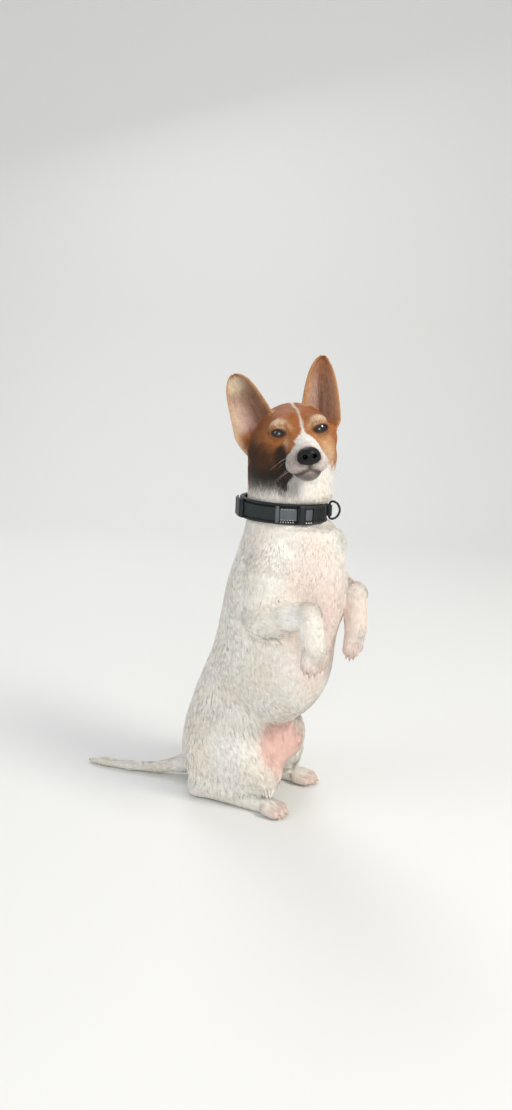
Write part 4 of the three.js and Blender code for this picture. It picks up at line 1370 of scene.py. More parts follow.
# %% [markdown]
# ## The coat
# A tuft is one small closed spindle: a root in the skin, a middle that is widest, and a tip that
# lies close to the skin a few hairs further on. Tufts overlap like thatch. Their length grows
# from 3 mm at the nose to 15 mm on the flank, and on the trunk neighbouring tips draw together
# into locks, as a slightly coarse coat does. The depth of the coat follows the length.

# %% Where tufts may grow
quads = skin_points[face_corners]
middle = quads.mean(1)
across_1, across_2 = quads[:, 2] - quads[:, 0], quads[:, 3] - quads[:, 1]
area_normal = np.cross(across_1, across_2) / 2
face_area = np.linalg.norm(area_normal, axis=1)
corner_normal = np.stack(
    [
        np.bincount(face_corners.ravel(), np.repeat(area_normal[:, i], 4), len(skin_points))
        for i in range(3)
    ], 1,
)
corner_normal = unit(corner_normal + 1e-12)


def shares(p):
    """How much each place belongs to each part of the body, and its place in the head."""
    parts, q = groups(p)
    nearest = np.min(list(parts.values()), axis=0)
    share = {k: np.exp(-np.minimum(d - nearest, 60) / 4) for k, d in parts.items()}
    total = sum(share.values())
    share = {k: w / total for k, w in share.items()}
    share["head"] = share["head"] * step(q[:, 2] + 60, 6)
    flesh = head_flesh(q)
    for name, form in ears.items():
        u, leaf = ear_place(name, q)[0], form(q)
        clear = np.maximum(step(u - 0.05, 0.05), step(flesh - leaf - 2, 1.5))
        share[name] = step(2.2 - leaf, 1.0) * clear * (q[:, 2] > -16)
    return share, q


face_share, face_q = shares(middle)
is_ear = np.maximum(face_share["left"], face_share["right"]) > 0.5
is_head = (face_share["head"] > 0.5) & ~is_ear
is_limb = face_share["foreleg"] + face_share["hindfoot"] + face_share["tail"] > 0.5
is_trunk = ~(is_ear | is_head | is_limb)
bare_groin = patch(middle, GROIN, [27, 28, 28], 0.2, 0.12 * slow_noise(middle, 20))
bare_groin = bare_groin * step(middle[:, 0] + 18, 3)
in_eye = np.zeros(len(middle), bool)
for side, name in ((-1, "right"), (1, "left")):
    look, outward, up = eye_axes(side)
    local = face_q - EYES[name]
    in_eye |= (eye_rim(local, outward, up) < 1.12) & (local @ look > 2)
at_nose = nose_bed(face_q) < 0.6
in_ear, at_tip = np.zeros(len(middle)), np.zeros(len(middle))
for name in ears:
    u, v, _, a, _, c = ear_place(name, face_q)
    front = step(c - ear_sheet(u, v), 0.9) * step(0.8 - np.abs(v), 0.1) * step(a - 9, 4)
    in_ear = np.maximum(in_ear, front * face_share[name])
    at_tip = np.maximum(at_tip, step(u - 0.975, 0.01) * face_share[name])
under_band = np.abs(middle[:, 2] - SEAM) < COLLAR_HALF - 1.5
under_sole = middle[:, 2] < 1.2
growth = (1 - 0.97 * bare_groin) * (1 - 0.8 * in_ear) * (1 - at_tip)
growth = growth * ~in_eye * ~at_nose * ~under_band * ~under_sole
print("faces that grow hair:", int((growth > 0.05).sum()))

# %% [markdown]
# The regions share out the tufts, so that small, fine hair on the face gets as many as the broad
# flank. Each region becomes one mesh.

# %% Regions of the coat
MOST = 33000  # tufts to a mesh
CHEST_FLOOR, FLANK_FLOOR, FACE_END = 226, 138, -18
z = middle[:, 2]
neck_floor = SEAM - 18
in_face = face_q[:, 1] < FACE_END
REGIONS = {
    "coat_ears": (is_ear, 0.75),
    "coat_face": (is_head & in_face, 1.0),
    "coat_head": (is_head & ~in_face, 0.85),
    "coat_neck": (is_trunk & (z > neck_floor), 0.8),
    "coat_chest": (is_trunk & (z <= neck_floor) & (z > CHEST_FLOOR), 1.0),
    "coat_flanks": (is_trunk & (z <= CHEST_FLOOR) & (z > FLANK_FLOOR), 1.0),
    "coat_hips": (is_trunk & (z <= FLANK_FLOOR), 1.0),
    "coat_legs_and_tail": (is_limb, 1.0),
}
for name, (where_it_grows, amount) in REGIONS.items():
    print(name, "covers", round(float(face_area[where_it_grows].sum()) / 100), "square cm")

# %% [markdown]
# Hair is shortest round the nose and on the toes, longer on the ruff behind the jaw, and longest
# on the flank. It is thin where the pink of the chest shows. The width of a tuft follows its
# length.

# %% How long the hair is
def tuft_sizes(p, q, share, inside_ear):
    """Length, width and height of the tip above the skin, in mm."""
    from_nose = np.linalg.norm(q - [0, -80, -20], axis=1)
    head_length = np.clip(2.4 + 0.055 * from_nose, 2.6, 8.5)
    ruff = step(-q[:, 2] - 34, 8) * step(q[:, 1] + 40, 12)
    head_length = head_length + 3 * ruff
    thin_chest = np.max([patch(p, c, r, 0.5) * a for c, r, a in PINK], axis=0)
    trunk_length = 15.5 - 10 * thin_chest - 5 * step(p[:, 2] - 300, 20)
    near_toes = np.clip((p[:, 2] - 180) / 40, 0, 1) * 5.5 + 4
    length = trunk_length * share["trunk"] + head_length * share["head"]
    length = length + near_toes * share["foreleg"] + 4.5 * share["hindfoot"] + 7 * share["tail"]
    tall = trunk_coat(p) * 0.45 * share["trunk"] + (0.75 + 0.06 * head_length) * share["head"]
    tall = tall + 0.9 * share["foreleg"] + 0.7 * share["hindfoot"] + 1.1 * share["tail"]
    ear_share = np.maximum(share["left"], share["right"])
    lobe = np.max([step(0.16 - ear_place(n, q)[0], 0.06) * share[n] for n in ears], axis=0)
    length = length * (1 - ear_share) + (3.4 + 2.2 * inside_ear - 1.2 * lobe) * ear_share
    tall = tall * (1 - ear_share) + 0.5 * ear_share
    width = 0.42 + 0.058 * length
    upper_leg = share["foreleg"] * np.clip((p[:, 2] - 200) / 30, 0, 1)
    width = width + 0.35 * upper_leg + 0.2 * share["hindfoot"]
    return length, width, tall


typical = tuft_sizes(middle, face_q, face_share, in_ear)
for name, (where_it_grows, amount) in REGIONS.items():
    print(name, "tufts:", *(float(size[where_it_grows].mean().round(1)) for size in typical), "mm")

# %% [markdown]
# One tuft in nine leads its neighbours, and their tips are drawn a part of the way towards the
# leader's. The front of the chest stays smoother than the flank.

# %% Draw the tips together
def tree_of(points):
    tree = kdtree.KDTree(len(points))
    for number, point in enumerate(points):
        tree.insert(point, number)
    tree.balance()
    return tree


def find_nearest(tree, points):
    return np.array([tree.find(point)[1] for point in points])


def in_locks(root, tip, share, length):
    """The tips after they are drawn together, and the leader of each tuft."""
    count = len(root)
    leaders = rng.choice(count, max(1, count // 9), replace=False)
    owner = leaders[find_nearest(tree_of(root[leaders]), root)]
    apart = np.linalg.norm(root - root[owner], axis=1)
    front_chest = step(-root[:, 1] - 70, 14) * step(root[:, 2] - 215, 20)
    pull = (0.42 - 0.26 * front_chest) * share["trunk"] + 0.25 * share["head"]
    pull = pull + 0.4 * share["tail"] + 0.1 * share["foreleg"]
    pull = pull * np.clip(1.4 - apart / 7, 0, 1) * (length > 4.5)
    return tip + (tip[owner] - tip) * pull[:, None], owner


skin_tree = tree_of(skin_points)
print("tree of", len(skin_points), "skin corners")

# %% [markdown]
# A spindle has five corners: its root just under the skin, two sides, a low ridge on top and
# the tip. Six triangles close it. Its corners take their shading directions from the skin, so
# that many tufts together shade as one soft coat and not as many small blades.

# %% Shape a tuft
SPINDLE = np.array([[0, 2, 1], [0, 1, 3], [0, 3, 2], [4, 1, 2], [4, 3, 1], [4, 2, 3]])
ROOT_DEPTH, LOWEST = 0.35, 0.1  # mm under the skin, and mm above the floor


def spindles(root, tip, normal, width, tall):
    """Corners of the tufts, (count, 5, 3), and the way sideways over each."""
    centre = root + (tip - root) * 0.45 + normal * (tall * 0.22)[:, None]
    ahead = unit(tip - root)
    beside = unit(np.cross(normal, ahead)) * (width / 2)[:, None]
    ridge = np.cross(ahead, beside) * 0.55
    start = root - normal * ROOT_DEPTH
    points = np.stack([start, centre - beside, centre + beside, centre + ridge, tip], 1)
    points[:, :, 2] = np.maximum(points[:, :, 2], LOWEST)
    return points, unit(beside)


def shading_directions(normal, sideways, tip_normal):
    facing = np.repeat(normal[:, None], 5, 1)
    facing[:, 1] -= 0.3 * sideways
    facing[:, 2] += 0.3 * sideways
    facing[:, 4] = tip_normal
    return unit(facing).reshape(-1, 3)


print("a spindle has", len(SPINDLE), "triangles")

# %% [markdown]
# A tuft's colour is that of the markings at its root. Each lock and each tuft is a little lighter
# or darker. Painted shade darkens each root, where it lies buried among the others, so its tip is
# paler than its root; on the head a real two-tone ticking adds to this, and hair there varies most.

# %% Tint a tuft
# painted shade on every tuft: darkest at the buried root, lighter on the ridge and lightest at the tip
PAINTED_TUFT_SHADE = np.array([0.93, 0.98, 0.98, 1.0, 1.03])  # root, two sides, ridge and tip
TICKING = np.array([-0.12, -0.03, -0.03, 0, 0.1])  # added to them on the head


def tuft_colours(root, share, owner):
    """A colour for each of the five corners of each tuft."""
    lively = 0.028 + 0.05 * share["head"]
    lock_tone = rng.normal(0, 1, len(root))[owner]
    own_tone = rng.normal(0, 1, len(root))
    streaks = slow_noise(root * [1, 1, 0.22], 2.6, 2)
    tone = 1 + lively * (0.5 * lock_tone + 1.3 * own_tone) + 0.03 * streaks * (1 - share["head"])
    tint = markings(root) * tone[:, None]
    shade_and_ticking = PAINTED_TUFT_SHADE + share["head"][:, None] * TICKING
    return np.clip(tint[:, None, :] * shade_and_ticking[:, :, None], 0, 0.98).reshape(-1, 3)


print("a tuft's tip is", round(PAINTED_TUFT_SHADE[-1] / PAINTED_TUFT_SHADE[0], 2), "times as bright as its root")

# %% [markdown]
# The map for baking gives every tuft a tiny patch at the place of the skin's map where it grows.

# %% Put the tufts on the map
TUFT_PATCH = np.array([[0, -0.0015], [-0.0014, 0], [0.0014, 0], [0, 0.0006], [0, 0.0015]])


def add_map(mesh, name, places):
    """Lays a flat map over a mesh; `places` holds one flat place for each point."""
    layer = mesh.uv_layers.new(name=name)
    order = np.empty(len(mesh.loops), np.int32)
    mesh.loops.foreach_get("vertex_index", order)
    layer.data.foreach_set("uv", places[order].astype(np.float32).ravel())


print("a tuft's patch is", np.ptp(TUFT_PATCH, axis=0).round(4), "of the map")

# %% [markdown]
# Now the tufts grow. Their roots are scattered over the faces by area, each lies along the
# guides' blend, pressed flat on the skin, and its tip is set at its own height over the nearest
# skin.

# %% Grow the coat
coat_material = skin_like("short_dog_hair", 0.62, 0.9, 0.1, Specular_IOR_Level=0.16, Sheen_Weight=0.04)
SLOTS = {"coat_face": "head_coat", "coat_head": "head_coat", "coat_ears": "ear_coat"}


def grow(name, where_it_grows, amount):
    chance = face_area * growth * where_it_grows
    count = int(MOST * amount)
    chosen = rng.choice(len(chance), count, p=chance / chance.sum())
    mix = rng.dirichlet([1, 1, 1, 1], count)
    root = (quads[chosen] * mix[:, :, None]).sum(1)
    normal = unit((corner_normal[face_corners[chosen]] * mix[:, :, None]).sum(1))
    share, q = shares(root)
    length, width, tall = tuft_sizes(root, q, share, in_ear[chosen])
    loose = rng.normal(size=(count, 1))
    length = length * rng.uniform(0.72, 1.2, count)
    tall = tall * rng.uniform(0.7, 1.1, count)
    way = lie(root, q, share)
    way = way - (way * normal).sum(1)[:, None] * normal
    sideways = np.cross(normal, unit(way))
    way = unit(unit(way) + sideways * loose * 0.09)
    tip, owner = in_locks(root, root + way * length[:, None], share, length)
    found = find_nearest(skin_tree, tip)
    over = ((tip - skin_points[found]) * corner_normal[found]).sum(1)
    tip = tip + corner_normal[found] * (tall - over)[:, None]
    points, sideways = spindles(root, tip, normal, width, tall)
    faces = (np.arange(count)[:, None, None] * 5 + SPINDLE).reshape(-1, 3)
    colours = tuft_colours(root, share, owner)
    piece = mesh_object(name, points.reshape(-1, 3), faces, coat_material)
    store_colours(piece.data, "Markings", colours)
    facing = shading_directions(normal, sideways, corner_normal[found])
    piece.data.normals_split_custom_set_from_vertices(facing)
    spot = (face_map[chosen] * mix[:, :, None]).sum(1)
    add_map(piece.data, "OFBake", (spot[:, None] + TUFT_PATCH[None]).reshape(-1, 2))
    SLOTS.get(name, "coat")
    print(name, count, "tufts,", len(faces), "triangles, mean length", round(float(length.mean()), 1))


for name, (where_it_grows, amount) in REGIONS.items():
    grow(name, where_it_grows, amount)

# %% [markdown]
# ## Whiskers
# The whiskers are stiff, tapered and greyish pale, in two rows on each side of the muzzle. They
# sweep back and a little down. They are about 0.2 mm thick at the root, as on a real dog.

# %% Make the whiskers
WHISKER_ROOT, WHISKER_TIP = 0.115, 0.03  # radii in mm
whisker_parts = []
for side in (-1, 1):
    for row, back_step in ((0, 0.2), (1, 0.5)):
        for i in range(3):
            at = [13 * side, -70 + 6.5 * (i + back_step), -23 - 4 * row]
            root = onto(muzzle, [at], 3)[0]
            away = unit([1.0 * side, 0.05 + 0.22 * i, -0.28 - 0.16 * row]) + rng.normal(0, 0.07, 3)
            t = np.linspace(0, 1, 10)[:, None]
            long = rng.uniform(11, 19)
            path = root + unit(away) * long * t + np.array([0, 5.0, -5.0]) * t**2
            radii = (WHISKER_ROOT - WHISKER_TIP) * (1 - t[:, 0]) + WHISKER_TIP
            whisker_parts.append(tube(path, radii, 5))
whisker_points, whisker_faces = joined(whisker_parts)
whisker_hair, whisker_shader = new_material("whisker_hair", "#d9d2c6", 0.35, Specular_IOR_Level=0.5)
where = add(whisker_hair, "ShaderNodeTexCoord")
bands = add(
    whisker_hair, "ShaderNodeTexNoise", Vector=where.outputs["Object"], Scale=140.0, Detail=2.0
)
whisker_tint = add(whisker_hair, "ShaderNodeValToRGB", Fac=bands.outputs["Fac"])
for stop, place, tint in zip(whisker_tint.color_ramp.elements, (0.3, 0.75), ("#857a6d", "#cfc8bb")):
    stop.position, stop.color = place, (*linear(tint), 1)
whisker_hair.node_tree.links.new(whisker_tint.outputs[0], whisker_shader.inputs["Base Color"])
whiskers = mesh_object("whiskers", from_head(whisker_points), whisker_faces, whisker_hair)
print("whiskers:", len(whisker_parts))

# %% [markdown]
# ## Collar
# The collar is a padded band with webbing sewn on it, a plastic slider and buckle, patches of
# reflective cloth, and a steel ring for the lead. Every piece follows the band, so one function
# sweeps a cross-section round the neck. It counts in fortieths of a turn from the dog's left,
# and it also lays a flat map in millimetres over the piece, which the weaves are drawn on.

# %% Places round the neck
TURN_STEPS = 40  # steps to a full turn


def round_neck(turn_step, outwards, up):
    a = 2 * np.pi * np.asarray(turn_step) / TURN_STEPS
    return np.stack(
        [
            COLLAR_CENTRE[0] + (COLLAR_RADII[0] + outwards) * np.cos(a),
            COLLAR_CENTRE[1] + (COLLAR_RADII[1] + outwards) * np.sin(a),
            COLLAR_CENTRE[2] + up + 0 * a,
        ], -1,
    )


print("front of the band:", round_neck(30, 0, 0).round(1))

# %% [markdown]
# Every section is a box with round corners. Its first point lies inside, against the neck, where
# the seam of the flat map doesn't show. An outer crown makes padding look stuffed.

# %% A rounded section
def rounded_section(inner, outer, half, corner, crown=0.0):
    """A closed box section with round corners, in mm from the band's outside and from its middle
    height."""
    a = np.linspace(0, math.pi / 2, 6)
    arcs = []
    for cx, cz, start in (
        (outer - corner, -half + corner, -90), (outer - corner, half - corner, 0),
        (inner + corner, half - corner, 90), (inner + corner, -half + corner, 180),
    ):
        b = a + math.radians(start)
        arcs.append(np.stack([cx + corner * np.cos(b), cz + corner * np.sin(b)], 1))
    outline = np.concatenate([arcs[3], arcs[0], arcs[1], arcs[2]])
    fine = []
    for p, q in zip(outline, np.roll(outline, -1, 0)):
        n = max(1, int(np.linalg.norm(q - p) / 1.2))
        fine += [p + (q - p) * i / n for i in range(n)]
    fine = np.array(fine)
    begin = np.argmin(np.hypot(fine[:, 0] - inner, fine[:, 1]))
    fine = np.roll(fine, -begin, 0)
    fine = np.concatenate([fine, fine[:1]])
    bulge = 1 - (fine[:, 1] / half) ** 2
    fine[:, 0] += crown * bulge * (fine[:, 0] > (inner + outer) / 2)
    return fine


print("a section like the webbing's has", len(rounded_section(0.1, 1.7, 6.5, 0.5)), "points")

# %% [markdown]
# Sweeping the section round the neck gives the piece. At an open end the section shrinks over a
# few rows, which rounds the end off as a moulded or folded end is.

# %% Sweep a section round the neck
def swept(name, section, start, end, material, node, slot, soft_end=0.5):
    """One collar piece from a start to an end in steps of the turn; it replaces `node`, if any."""
    whole = end - start >= TURN_STEPS
    rows = max(8, int((end - start) * 6)) + 1
    steps = np.linspace(start, end, rows)
    size = np.ones(rows)
    if not whole:
        ease = np.array([0.0, 0.35, 0.65, 0.87, 0.97])
        edge = soft_end / 7 * np.array([0.0, 0.04, 0.14, 0.35, 0.7])
        steps = np.concatenate([start + edge, steps[1:-1], end - edge[::-1]])
        size = np.concatenate([ease, np.ones(rows - 2), ease[::-1]])
    centre = np.array([(section[:, 0].min() + section[:, 0].max()) / 2, 0])
    shaped = centre + (section - centre)[None] * size[:, None, None]
    points = round_neck(steps[:, None] + 0 * shaped[..., 0], shaped[..., 0], shaped[..., 1])
    around = np.concatenate([[0], np.cumsum(np.linalg.norm(np.diff(section, axis=0), axis=1))])
    along = steps * 2 * math.pi / TURN_STEPS * (COLLAR_RADII.mean() + centre[0])
    mapping = np.stack([*np.broadcast_arrays(along[:, None], around[None])], -1)
    faces = grid_faces(len(steps), len(section), wrap=False)
    piece = mesh_object(name, points.reshape(-1, 3), faces, material)
    add_map(piece.data, "Millimetres", mapping.reshape(-1, 2) / 1000)
    if node:
        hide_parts(node)


print("one step is", round(2 * math.pi * COLLAR_RADII.mean() / TURN_STEPS, 2), "mm along the band")

# %% [markdown]
# Three cloths are woven or knitted. The padding is a black knitted mesh with small holes about
# 1.4 mm apart. The webbing is dark green-grey nylon with ribs across it, 1.5 mm apart. The
# reflective cloth is silver grey with a fine diamond print of 1.6 mm.

# %% The collar's cloths
def cloth(name, colour, light, size_mm, roughness, pattern, depth_mm, **values):
    material, shader = new_material(name, colour, roughness, **values)
    where = add(material, "ShaderNodeUVMap", {"uv_map": "Millimetres"})
    if pattern == "mesh":
        cells = add(
            material, "ShaderNodeTexVoronoi", {"feature": "F1"},
            Vector=where.outputs[0], Scale=1000 / size_mm, Randomness=0.25,
        )
        height = add(
            material, "ShaderNodeMapRange",
            Value=cells.outputs["Distance"], From_Min=0.15, From_Max=0.5,
        ).outputs["Result"]
    else:
        spin = 0.0 if pattern == "ribs" else math.radians(45)
        waves_of = []
        for i, way in enumerate(("X", "Y")):
            turned_map = add(
                material, "ShaderNodeMapping", Vector=where.outputs[0], Rotation=(0, 0, spin),
                Scale=(1, 1, 1) if pattern != "ribs" or i == 0 else (1, 0.55, 1),
            )
            wave = add(
                material, "ShaderNodeTexWave", {"bands_direction": way},
                Vector=turned_map.outputs[0], Scale=1000 / size_mm / 3.14, Distortion=0.3,
                Detail=1.0, Detail_Scale=3.0,
            )
            waves_of.append(wave.outputs["Fac"])
        height = add(
            material, "ShaderNodeMath", {"operation": "MULTIPLY"}, _0=waves_of[0], _1=waves_of[1]
        ).outputs[0]
    fuzz = add(material, "ShaderNodeTexNoise", Vector=where.outputs[0], Scale=900.0, Detail=3.0)
    worn = add(material, "ShaderNodeTexNoise", Vector=where.outputs[0], Scale=60.0, Detail=2.0)
    tone = add(
        material, "ShaderNodeMath", {"operation": "MULTIPLY"}, _0=height, _1=fuzz.outputs["Fac"]
    )
    tone = add(
        material, "ShaderNodeMath", {"operation": "MULTIPLY_ADD"},
        _0=worn.outputs["Fac"], _1=0.5, _2=tone.outputs[0],
    )
    ramp = add(material, "ShaderNodeValToRGB", Fac=tone.outputs[0])
    ramp.color_ramp.elements[0].position = 0.15
    ramp.color_ramp.elements[0].color = (*linear(colour), 1)
    ramp.color_ramp.elements[1].position = 0.85
    ramp.color_ramp.elements[1].color = (*linear(light), 1)
    bump = add(material, "ShaderNodeBump", Height=height, Strength=0.7, Distance=depth_mm / 1000)
    material.node_tree.links.new(ramp.outputs[0], shader.inputs["Base Color"])
    material.node_tree.links.new(bump.outputs[0], shader.inputs["Normal"])
    return material


knit = cloth(
    "black_knitted_mesh", "#07090a", "#1b2022", 1.4, 0.85, "mesh", 0.5, Specular_IOR_Level=0.3
)
webbing_cloth = cloth("nylon_webbing", "#0c1616", "#223130", 1.5, 0.6, "ribs", 0.45)
reflective = cloth(
    "reflective_cloth", "#3d4245", "#7b8184", 1.6, 0.42, "diamonds", 0.25, Metallic=0.25
)
print("cloths:", knit.name, webbing_cloth.name, reflective.name)

# %% [markdown]
# The buckle and slider are moulded acetal: black, slightly rough from the mould, a little
# shinier in worn spots. The ring is steel wire with a dark, scuffed coating. The thread is pale
# on the patches and dark on the webbing. The loop at the end of the sleeve is knitted too.

# %% Plastic, steel and thread
plastic, plastic_shader = new_material("moulded_acetal", "#0e1011", 0.42, Specular_IOR_Level=0.5)
where = add(plastic, "ShaderNodeTexCoord")
grain = add(plastic, "ShaderNodeTexNoise", Vector=where.outputs["Object"], Scale=1400.0, Detail=3.0)
rough = add(
    plastic, "ShaderNodeMapRange", Value=grain.outputs["Fac"],
    From_Min=0.3, From_Max=0.7, To_Min=0.34, To_Max=0.52,
)
plastic_tone = add(plastic, "ShaderNodeValToRGB", Fac=grain.outputs["Fac"])
plastic_tone.color_ramp.elements[0].color = (*linear("#0b0d0e"), 1)
plastic_tone.color_ramp.elements[1].color = (*linear("#1c1f21"), 1)
grain_bump = add(
    plastic, "ShaderNodeBump", Height=grain.outputs["Fac"], Strength=0.3, Distance=0.0001
)
plastic.node_tree.links.new(plastic_tone.outputs[0], plastic_shader.inputs["Base Color"])
plastic.node_tree.links.new(rough.outputs["Result"], plastic_shader.inputs["Roughness"])
plastic.node_tree.links.new(grain_bump.outputs[0], plastic_shader.inputs["Normal"])
steel, steel_shader = new_material("coated_steel_wire", "#2c2e30", 0.36, Metallic=0.9)
where = add(steel, "ShaderNodeTexCoord")
scuffs = add(steel, "ShaderNodeTexNoise", Vector=where.outputs["Object"], Scale=500.0, Detail=4.0)
steel_tone = add(steel, "ShaderNodeValToRGB", Fac=scuffs.outputs["Fac"])
steel_tone.color_ramp.elements[0].position = 0.45
steel_tone.color_ramp.elements[0].color = (*linear("#1d1f20"), 1)
steel_tone.color_ramp.elements[1].position = 0.75
steel_tone.color_ramp.elements[1].color = (*linear("#5b5f62"), 1)
steel.node_tree.links.new(steel_tone.outputs[0], steel_shader.inputs["Base Color"])


def thread(name, dark, light):
    material, shader = new_material(name, light, 0.6)
    place = add(material, "ShaderNodeTexCoord")
    twist = add(material, "ShaderNodeTexNoise", Vector=place.outputs["Object"], Scale=1800.0)
    tone = add(material, "ShaderNodeValToRGB", Fac=twist.outputs["Fac"])
    tone.color_ramp.elements[0].color = (*linear(dark), 1)
    tone.color_ramp.elements[1].color = (*linear(light), 1)
    bump = add(material, "ShaderNodeBump", Height=twist.outputs["Fac"], Strength=0.5, Distance=0.0001)
    material.node_tree.links.new(tone.outputs[0], shader.inputs["Base Color"])
    material.node_tree.links.new(bump.outputs[0], shader.inputs["Normal"])
    return material


pale_thread = thread("pale_polyester_thread", "#a3a6a2", "#dcdedb")
dark_thread = thread("dark_polyester_thread", "#141718", "#33393a")
loop_cloth = cloth("grey_knitted_loop", "#2a2e30", "#686d70", 1.8, 0.7, "mesh", 0.5)
print("collar materials made")

# %% [markdown]
# The band is padded, so its outside is a little crowned between two flat sewn edges. The
# webbing lies on it from the ring round the back of the neck to the buckle, and the slider
# grips it with two bars.

# %% The band, the webbing and the slider
STRAP_SPAN, SLIDER_SPAN, BUCKLE_SPAN, KEEPER_SPAN = (-3.5, 26.5), (14, 18), (26.5, 31.5), (34, 36)
PLATE, CLOTH = "buckle_plastic", "reflective_cloth"


def moved(section, up):
    return section + [0, up]


band_section = rounded_section(-BAND_THICKNESS, -0.2, COLLAR_HALF, 1.4, 0.35)
binding = rounded_section(-BAND_THICKNESS + 0.3, 0.35, 1.35, 0.9)
webbing = rounded_section(0.1, 1.7, 6.5, 0.5)
sleeve_patch = rounded_section(1.5, 2.7, 5.8, 0.4)
sleeve_loop = rounded_section(1.4, 3.4, 8.2, 0.7)
slider = rounded_section(1.8, 3.9, 9.5, 0.9)
slider_bar = rounded_section(3.2, 4.7, 8.6, 0.7)
swept("collar_padding", band_section, 0, TURN_STEPS, knit, "collar_band", "collar_padding")
for edge, up in (("upper", 8.9), ("lower", -8.9)):
    edging = moved(binding, up)
    swept(f"collar_binding_{edge}", edging, 0, TURN_STEPS, webbing_cloth, None, "webbing")
swept("collar_webbing", webbing, *STRAP_SPAN, webbing_cloth, "collar_strap", "webbing")
swept("collar_patch", sleeve_patch, 24.1, 26.4, reflective, "collar_sleeve", CLOTH)
swept("collar_loop", sleeve_loop, 23.5, 24.05, loop_cloth, None, CLOTH, 0.8)
swept("collar_slider", slider, *SLIDER_SPAN, plastic, "collar_slider", PLATE, 1.6)
for at in (14.6, 17.0):
    swept(f"slider_bar_{int(at)}", slider_bar, at, at + 0.5, plastic, None, PLATE, 1.0)
print("the webbing is", STRAP_SPAN[1] - STRAP_SPAN[0], "steps long")

# %% [markdown]
# The buckle is two halves that meet at a step. The socket half has a window with a reflective
# patch between two rails, the other half has grip ribs, and a keeper of webbing lies beyond it.

# %% The buckle and the keeper
buckle_body = rounded_section(0.3, 3.6, 8.9, 1.1)
rib = rounded_section(4.4, 5.5, 7.0, 0.5)
window_patch = rounded_section(3.2, 4.2, 5.4, 0.4)
rail = rounded_section(3.0, 4.7, 1.0, 0.6)
keeper = rounded_section(0.2, 4.9, 5.6, 1.1)
swept("collar_buckle", buckle_body, *BUCKLE_SPAN, plastic, "collar_buckle", PLATE, 1.8)
for start, end, half in ((26.7, 27.5, 8.4), (28.75, 31.2, 7.6)):
    plate = rounded_section(3.0, 4.9, half, 0.9)
    swept(f"buckle_plate_{int(start)}", plate, start, end, plastic, None, PLATE, 1.2)
for at in np.arange(29.05, 31.0, 0.4):
    swept(f"buckle_rib_{round(at * 100)}", rib, at, at + 0.2, plastic, None, PLATE, 0.6)
swept("buckle_patch", window_patch, 27.6, 28.6, reflective, None, CLOTH)
for edge, up in (("upper", 7.4), ("lower", -7.4)):
    swept(f"buckle_rail_{edge}", moved(rail, up), 27.3, 29.0, plastic, None, PLATE, 1.0)
swept("collar_keeper", keeper, *KEEPER_SPAN, webbing_cloth, "collar_keeper", "webbing", 1.2)
print("the buckle is", BUCKLE_SPAN[1] - BUCKLE_SPAN[0], "steps long")

# %% [markdown]
# The ring is one bent wire: a straight bar inside the keeper and a bow outside it. A smooth
# closed curve through a few points gives its middle line.

# %% Make the ring
RING_WIRE, WIRE_SIDES, RING_AT = 1.15, 12, 35.0
bar = [[0, -7], [0, 0], [0, 7]]
bow = [[3, 9], [8, 6.5], [10.5, 0], [8, -6.5], [3, -9]]
outwards, upwards = np.array(bar + bow).T
knots = round_neck(RING_AT, 2.6 + outwards, upwards)
smooth_ring = []
for i in range(len(knots)):
    a, b, c, d = (knots[(i + k) % len(knots)] for k in (-1, 0, 1, 2))
    square, cube = 2 * a - 5 * b + 4 * c - d, 3 * b - a - 3 * c + d
    for t in np.linspace(0, 1, 8, endpoint=False):
        smooth_ring.append(0.5 * (2 * b + (c - a) * t + square * t**2 + cube * t**3))
smooth_ring = np.array(smooth_ring)
before, after = np.roll(smooth_ring, 1, 0), np.roll(smooth_ring, -1, 0)
run = unit(after - before)
flat_way = unit(np.cross(knots[1] - knots[0], knots[4] - knots[0]))
other_way = np.cross(flat_way, run)
a = np.linspace(0, 2 * math.pi, WIRE_SIDES, endpoint=False)
ring_points = smooth_ring[:, None] + RING_WIRE * (
    np.cos(a)[None, :, None] * flat_way + np.sin(a)[None, :, None] * other_way[:, None]
)
count = len(smooth_ring)
ring_faces = grid_faces(count + 1, WIRE_SIDES) % (count * WIRE_SIDES)
ring = mesh_object("lead_ring", ring_points.reshape(-1, 3), ring_faces, steel)
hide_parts("collar_ring")
print("ring wire", 2 * RING_WIRE, "mm thick")

# %% [markdown]
# Short stitches hold the patches and run along both edges of the webbing and the band. Each is
# a small pillow of thread: a tube that swells from nothing and sinks back into the cloth.

# %% Make the stitches
def stitches(start, end, up, out, long, gap, thick):
    mm_per_step = 2 * math.pi * COLLAR_RADII.mean() / TURN_STEPS
    count = int((end - start) * mm_per_step / (long + gap))
    made = []
    for i in range(count):
        s = start + (i + 0.5) * (long + gap) / mm_per_step
        t = np.linspace(-0.5, 0.5, 6)
        path = round_neck(s + t * long / mm_per_step, out + 0.25 * (1 - (2 * t) ** 4), up)
        made.append(tube(path, thick * np.sqrt(np.clip(1.02 - (2 * t) ** 4, 0, 1)), 6))
    return made


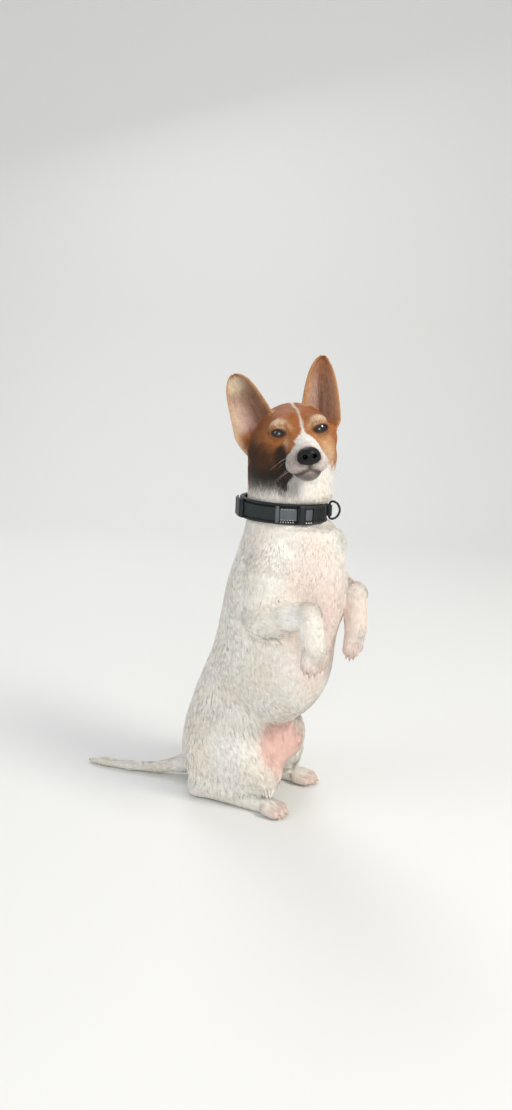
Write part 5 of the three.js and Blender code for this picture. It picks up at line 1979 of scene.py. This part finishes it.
pale = stitches(24.1, 26.4, -7.6, 0.5, 1.2, 1.2, 0.75)
pale += stitches(27.5, 28.8, -7.5, 4.9, 1.2, 1.2, 0.75)
pale += [part for up in (5.2, -5.2) for part in stitches(24.2, 26.4, up, 2.65, 1.5, 1.1, 0.3)]
points, faces = joined(pale)
mesh_object("pale_stitches", points, faces, pale_thread)
dull = [part for up in (5.6, -5.6) for part in stitches(-3.3, 23.2, up, 1.65, 2.0, 1.0, 0.3)]
dull += [part for up in (8.9, -8.9) for part in stitches(0, TURN_STEPS, up, 0.35, 2.2, 1.3, 0.26)]
points, faces = joined(dull)
mesh_object("dark_stitches", points, faces, dark_thread)
print("collar pieces made;", len(pale) + len(dull), "stitches")

# %% [markdown]
# ## Setting
# The camera stands about a metre away, level with the tips of the dog's ears, and looks slightly
# down. It is rolled by three degrees, as a hand-held camera is.

# %% Camera
AZIMUTH, PITCH, ROLL, AWAY, EYE_HEIGHT = -46, 11.6, 3.0, 1040, 487
camera_data = bpy.data.cameras.new("camera")
camera_data.lens = 36 * 1000 / 1110
camera = bpy.data.objects.new("camera", camera_data)
bpy.context.scene.collection.objects.link(camera)
bpy.context.scene.camera = camera
turn = math.radians(AZIMUTH)
camera.location = to_scene([AWAY * math.sin(turn), -AWAY * math.cos(turn), EYE_HEIGHT])
facing = Matrix.Rotation(turn, 4, "Z") @ Matrix.Rotation(math.radians(90 - PITCH), 4, "X")
camera.rotation_euler = (facing @ Matrix.Rotation(math.radians(ROLL), 4, "Z")).to_euler()
print("camera at", [round(c, 3) for c in camera.location], "m")

# %% [markdown]
# The floor sweeps up into a pale wall without an edge, so nothing behind the dog draws the eye.

# %% Floor and wall
FLOOR_NEAR, FLOOR_FAR, BEND, WALL_TOP = -3.0, 1.6, 0.6, 3.2  # metres, along the camera's view
floor_material, _ = new_material("painted_plaster", "#e9e9e7", 0.9)
profile = [(FLOOR_NEAR, 0.0), (FLOOR_FAR, 0.0)]
for t in np.linspace(0.1, math.pi / 2, 12):
    profile.append((FLOOR_FAR + BEND * math.sin(t), BEND - BEND * math.cos(t)))
profile.append((FLOOR_FAR + BEND, WALL_TOP))
across = (math.cos(turn), math.sin(turn))
along = (-math.sin(turn), math.cos(turn))
points = [
    [(s * across[0] + d * along[0]) * 1000, (s * across[1] + d * along[1]) * 1000, z * 1000]
    for d, z in profile for s in (-3.5, 3.5)
]
faces = [[2 * i, 2 * i + 1, 2 * i + 3, 2 * i + 2] for i in range(len(profile) - 1)]
backdrop = mesh_object("backdrop", points, faces, floor_material)
print("floor and wall made of", len(faces), "strips")

# %% [markdown]
# Four soft lamps light the dog: a high key from its front, a low one that puts a light in its
# eyes, a broad weak fill from its right and one behind. Their level, with that of the pale
# world, is set so that white fur stays below pure white.

# %% Lamps
LAMP_AIM = Vector((0, 0, 0.25))  # the middle of the dog, in metres


def lamp(name, azimuth, elevation, away, size, power, colour="#ffffff"):
    data = bpy.data.lights.new(name, "AREA")
    data.shape, data.size, data.energy = "DISK", size, power
    data.color = linear(colour)
    made = bpy.data.objects.new(name, data)
    a, e = math.radians(azimuth), math.radians(elevation)
    way = Vector((math.sin(a) * math.cos(e), -math.cos(a) * math.cos(e), math.sin(e)))
    made.location = LAMP_AIM + way * away
    made.rotation_euler = way.to_track_quat("Z", "Y").to_euler()
    bpy.context.scene.collection.objects.link(made)


lamp("key", 8, 44, 2.0, 0.7, 21, "#fffaf2")
lamp("front", -42, 9, 2.0, 0.9, 8, "#ffffff")
lamp("fill", -105, 28, 2.4, 1.6, 10, "#f2f6ff")
lamp("rim", 150, 45, 2.2, 1.2, 13)
world = bpy.data.worlds.new("studio")
bpy.context.scene.world = world
world.use_nodes = True
world.node_tree.nodes["Background"].inputs["Color"].default_value = (*linear("#f4f6f8"), 1)
world.node_tree.nodes["Background"].inputs["Strength"].default_value = 0.55
bpy.context.scene.view_settings.view_transform = "Standard"
print("lamps:", *(item.name for item in bpy.data.lights))
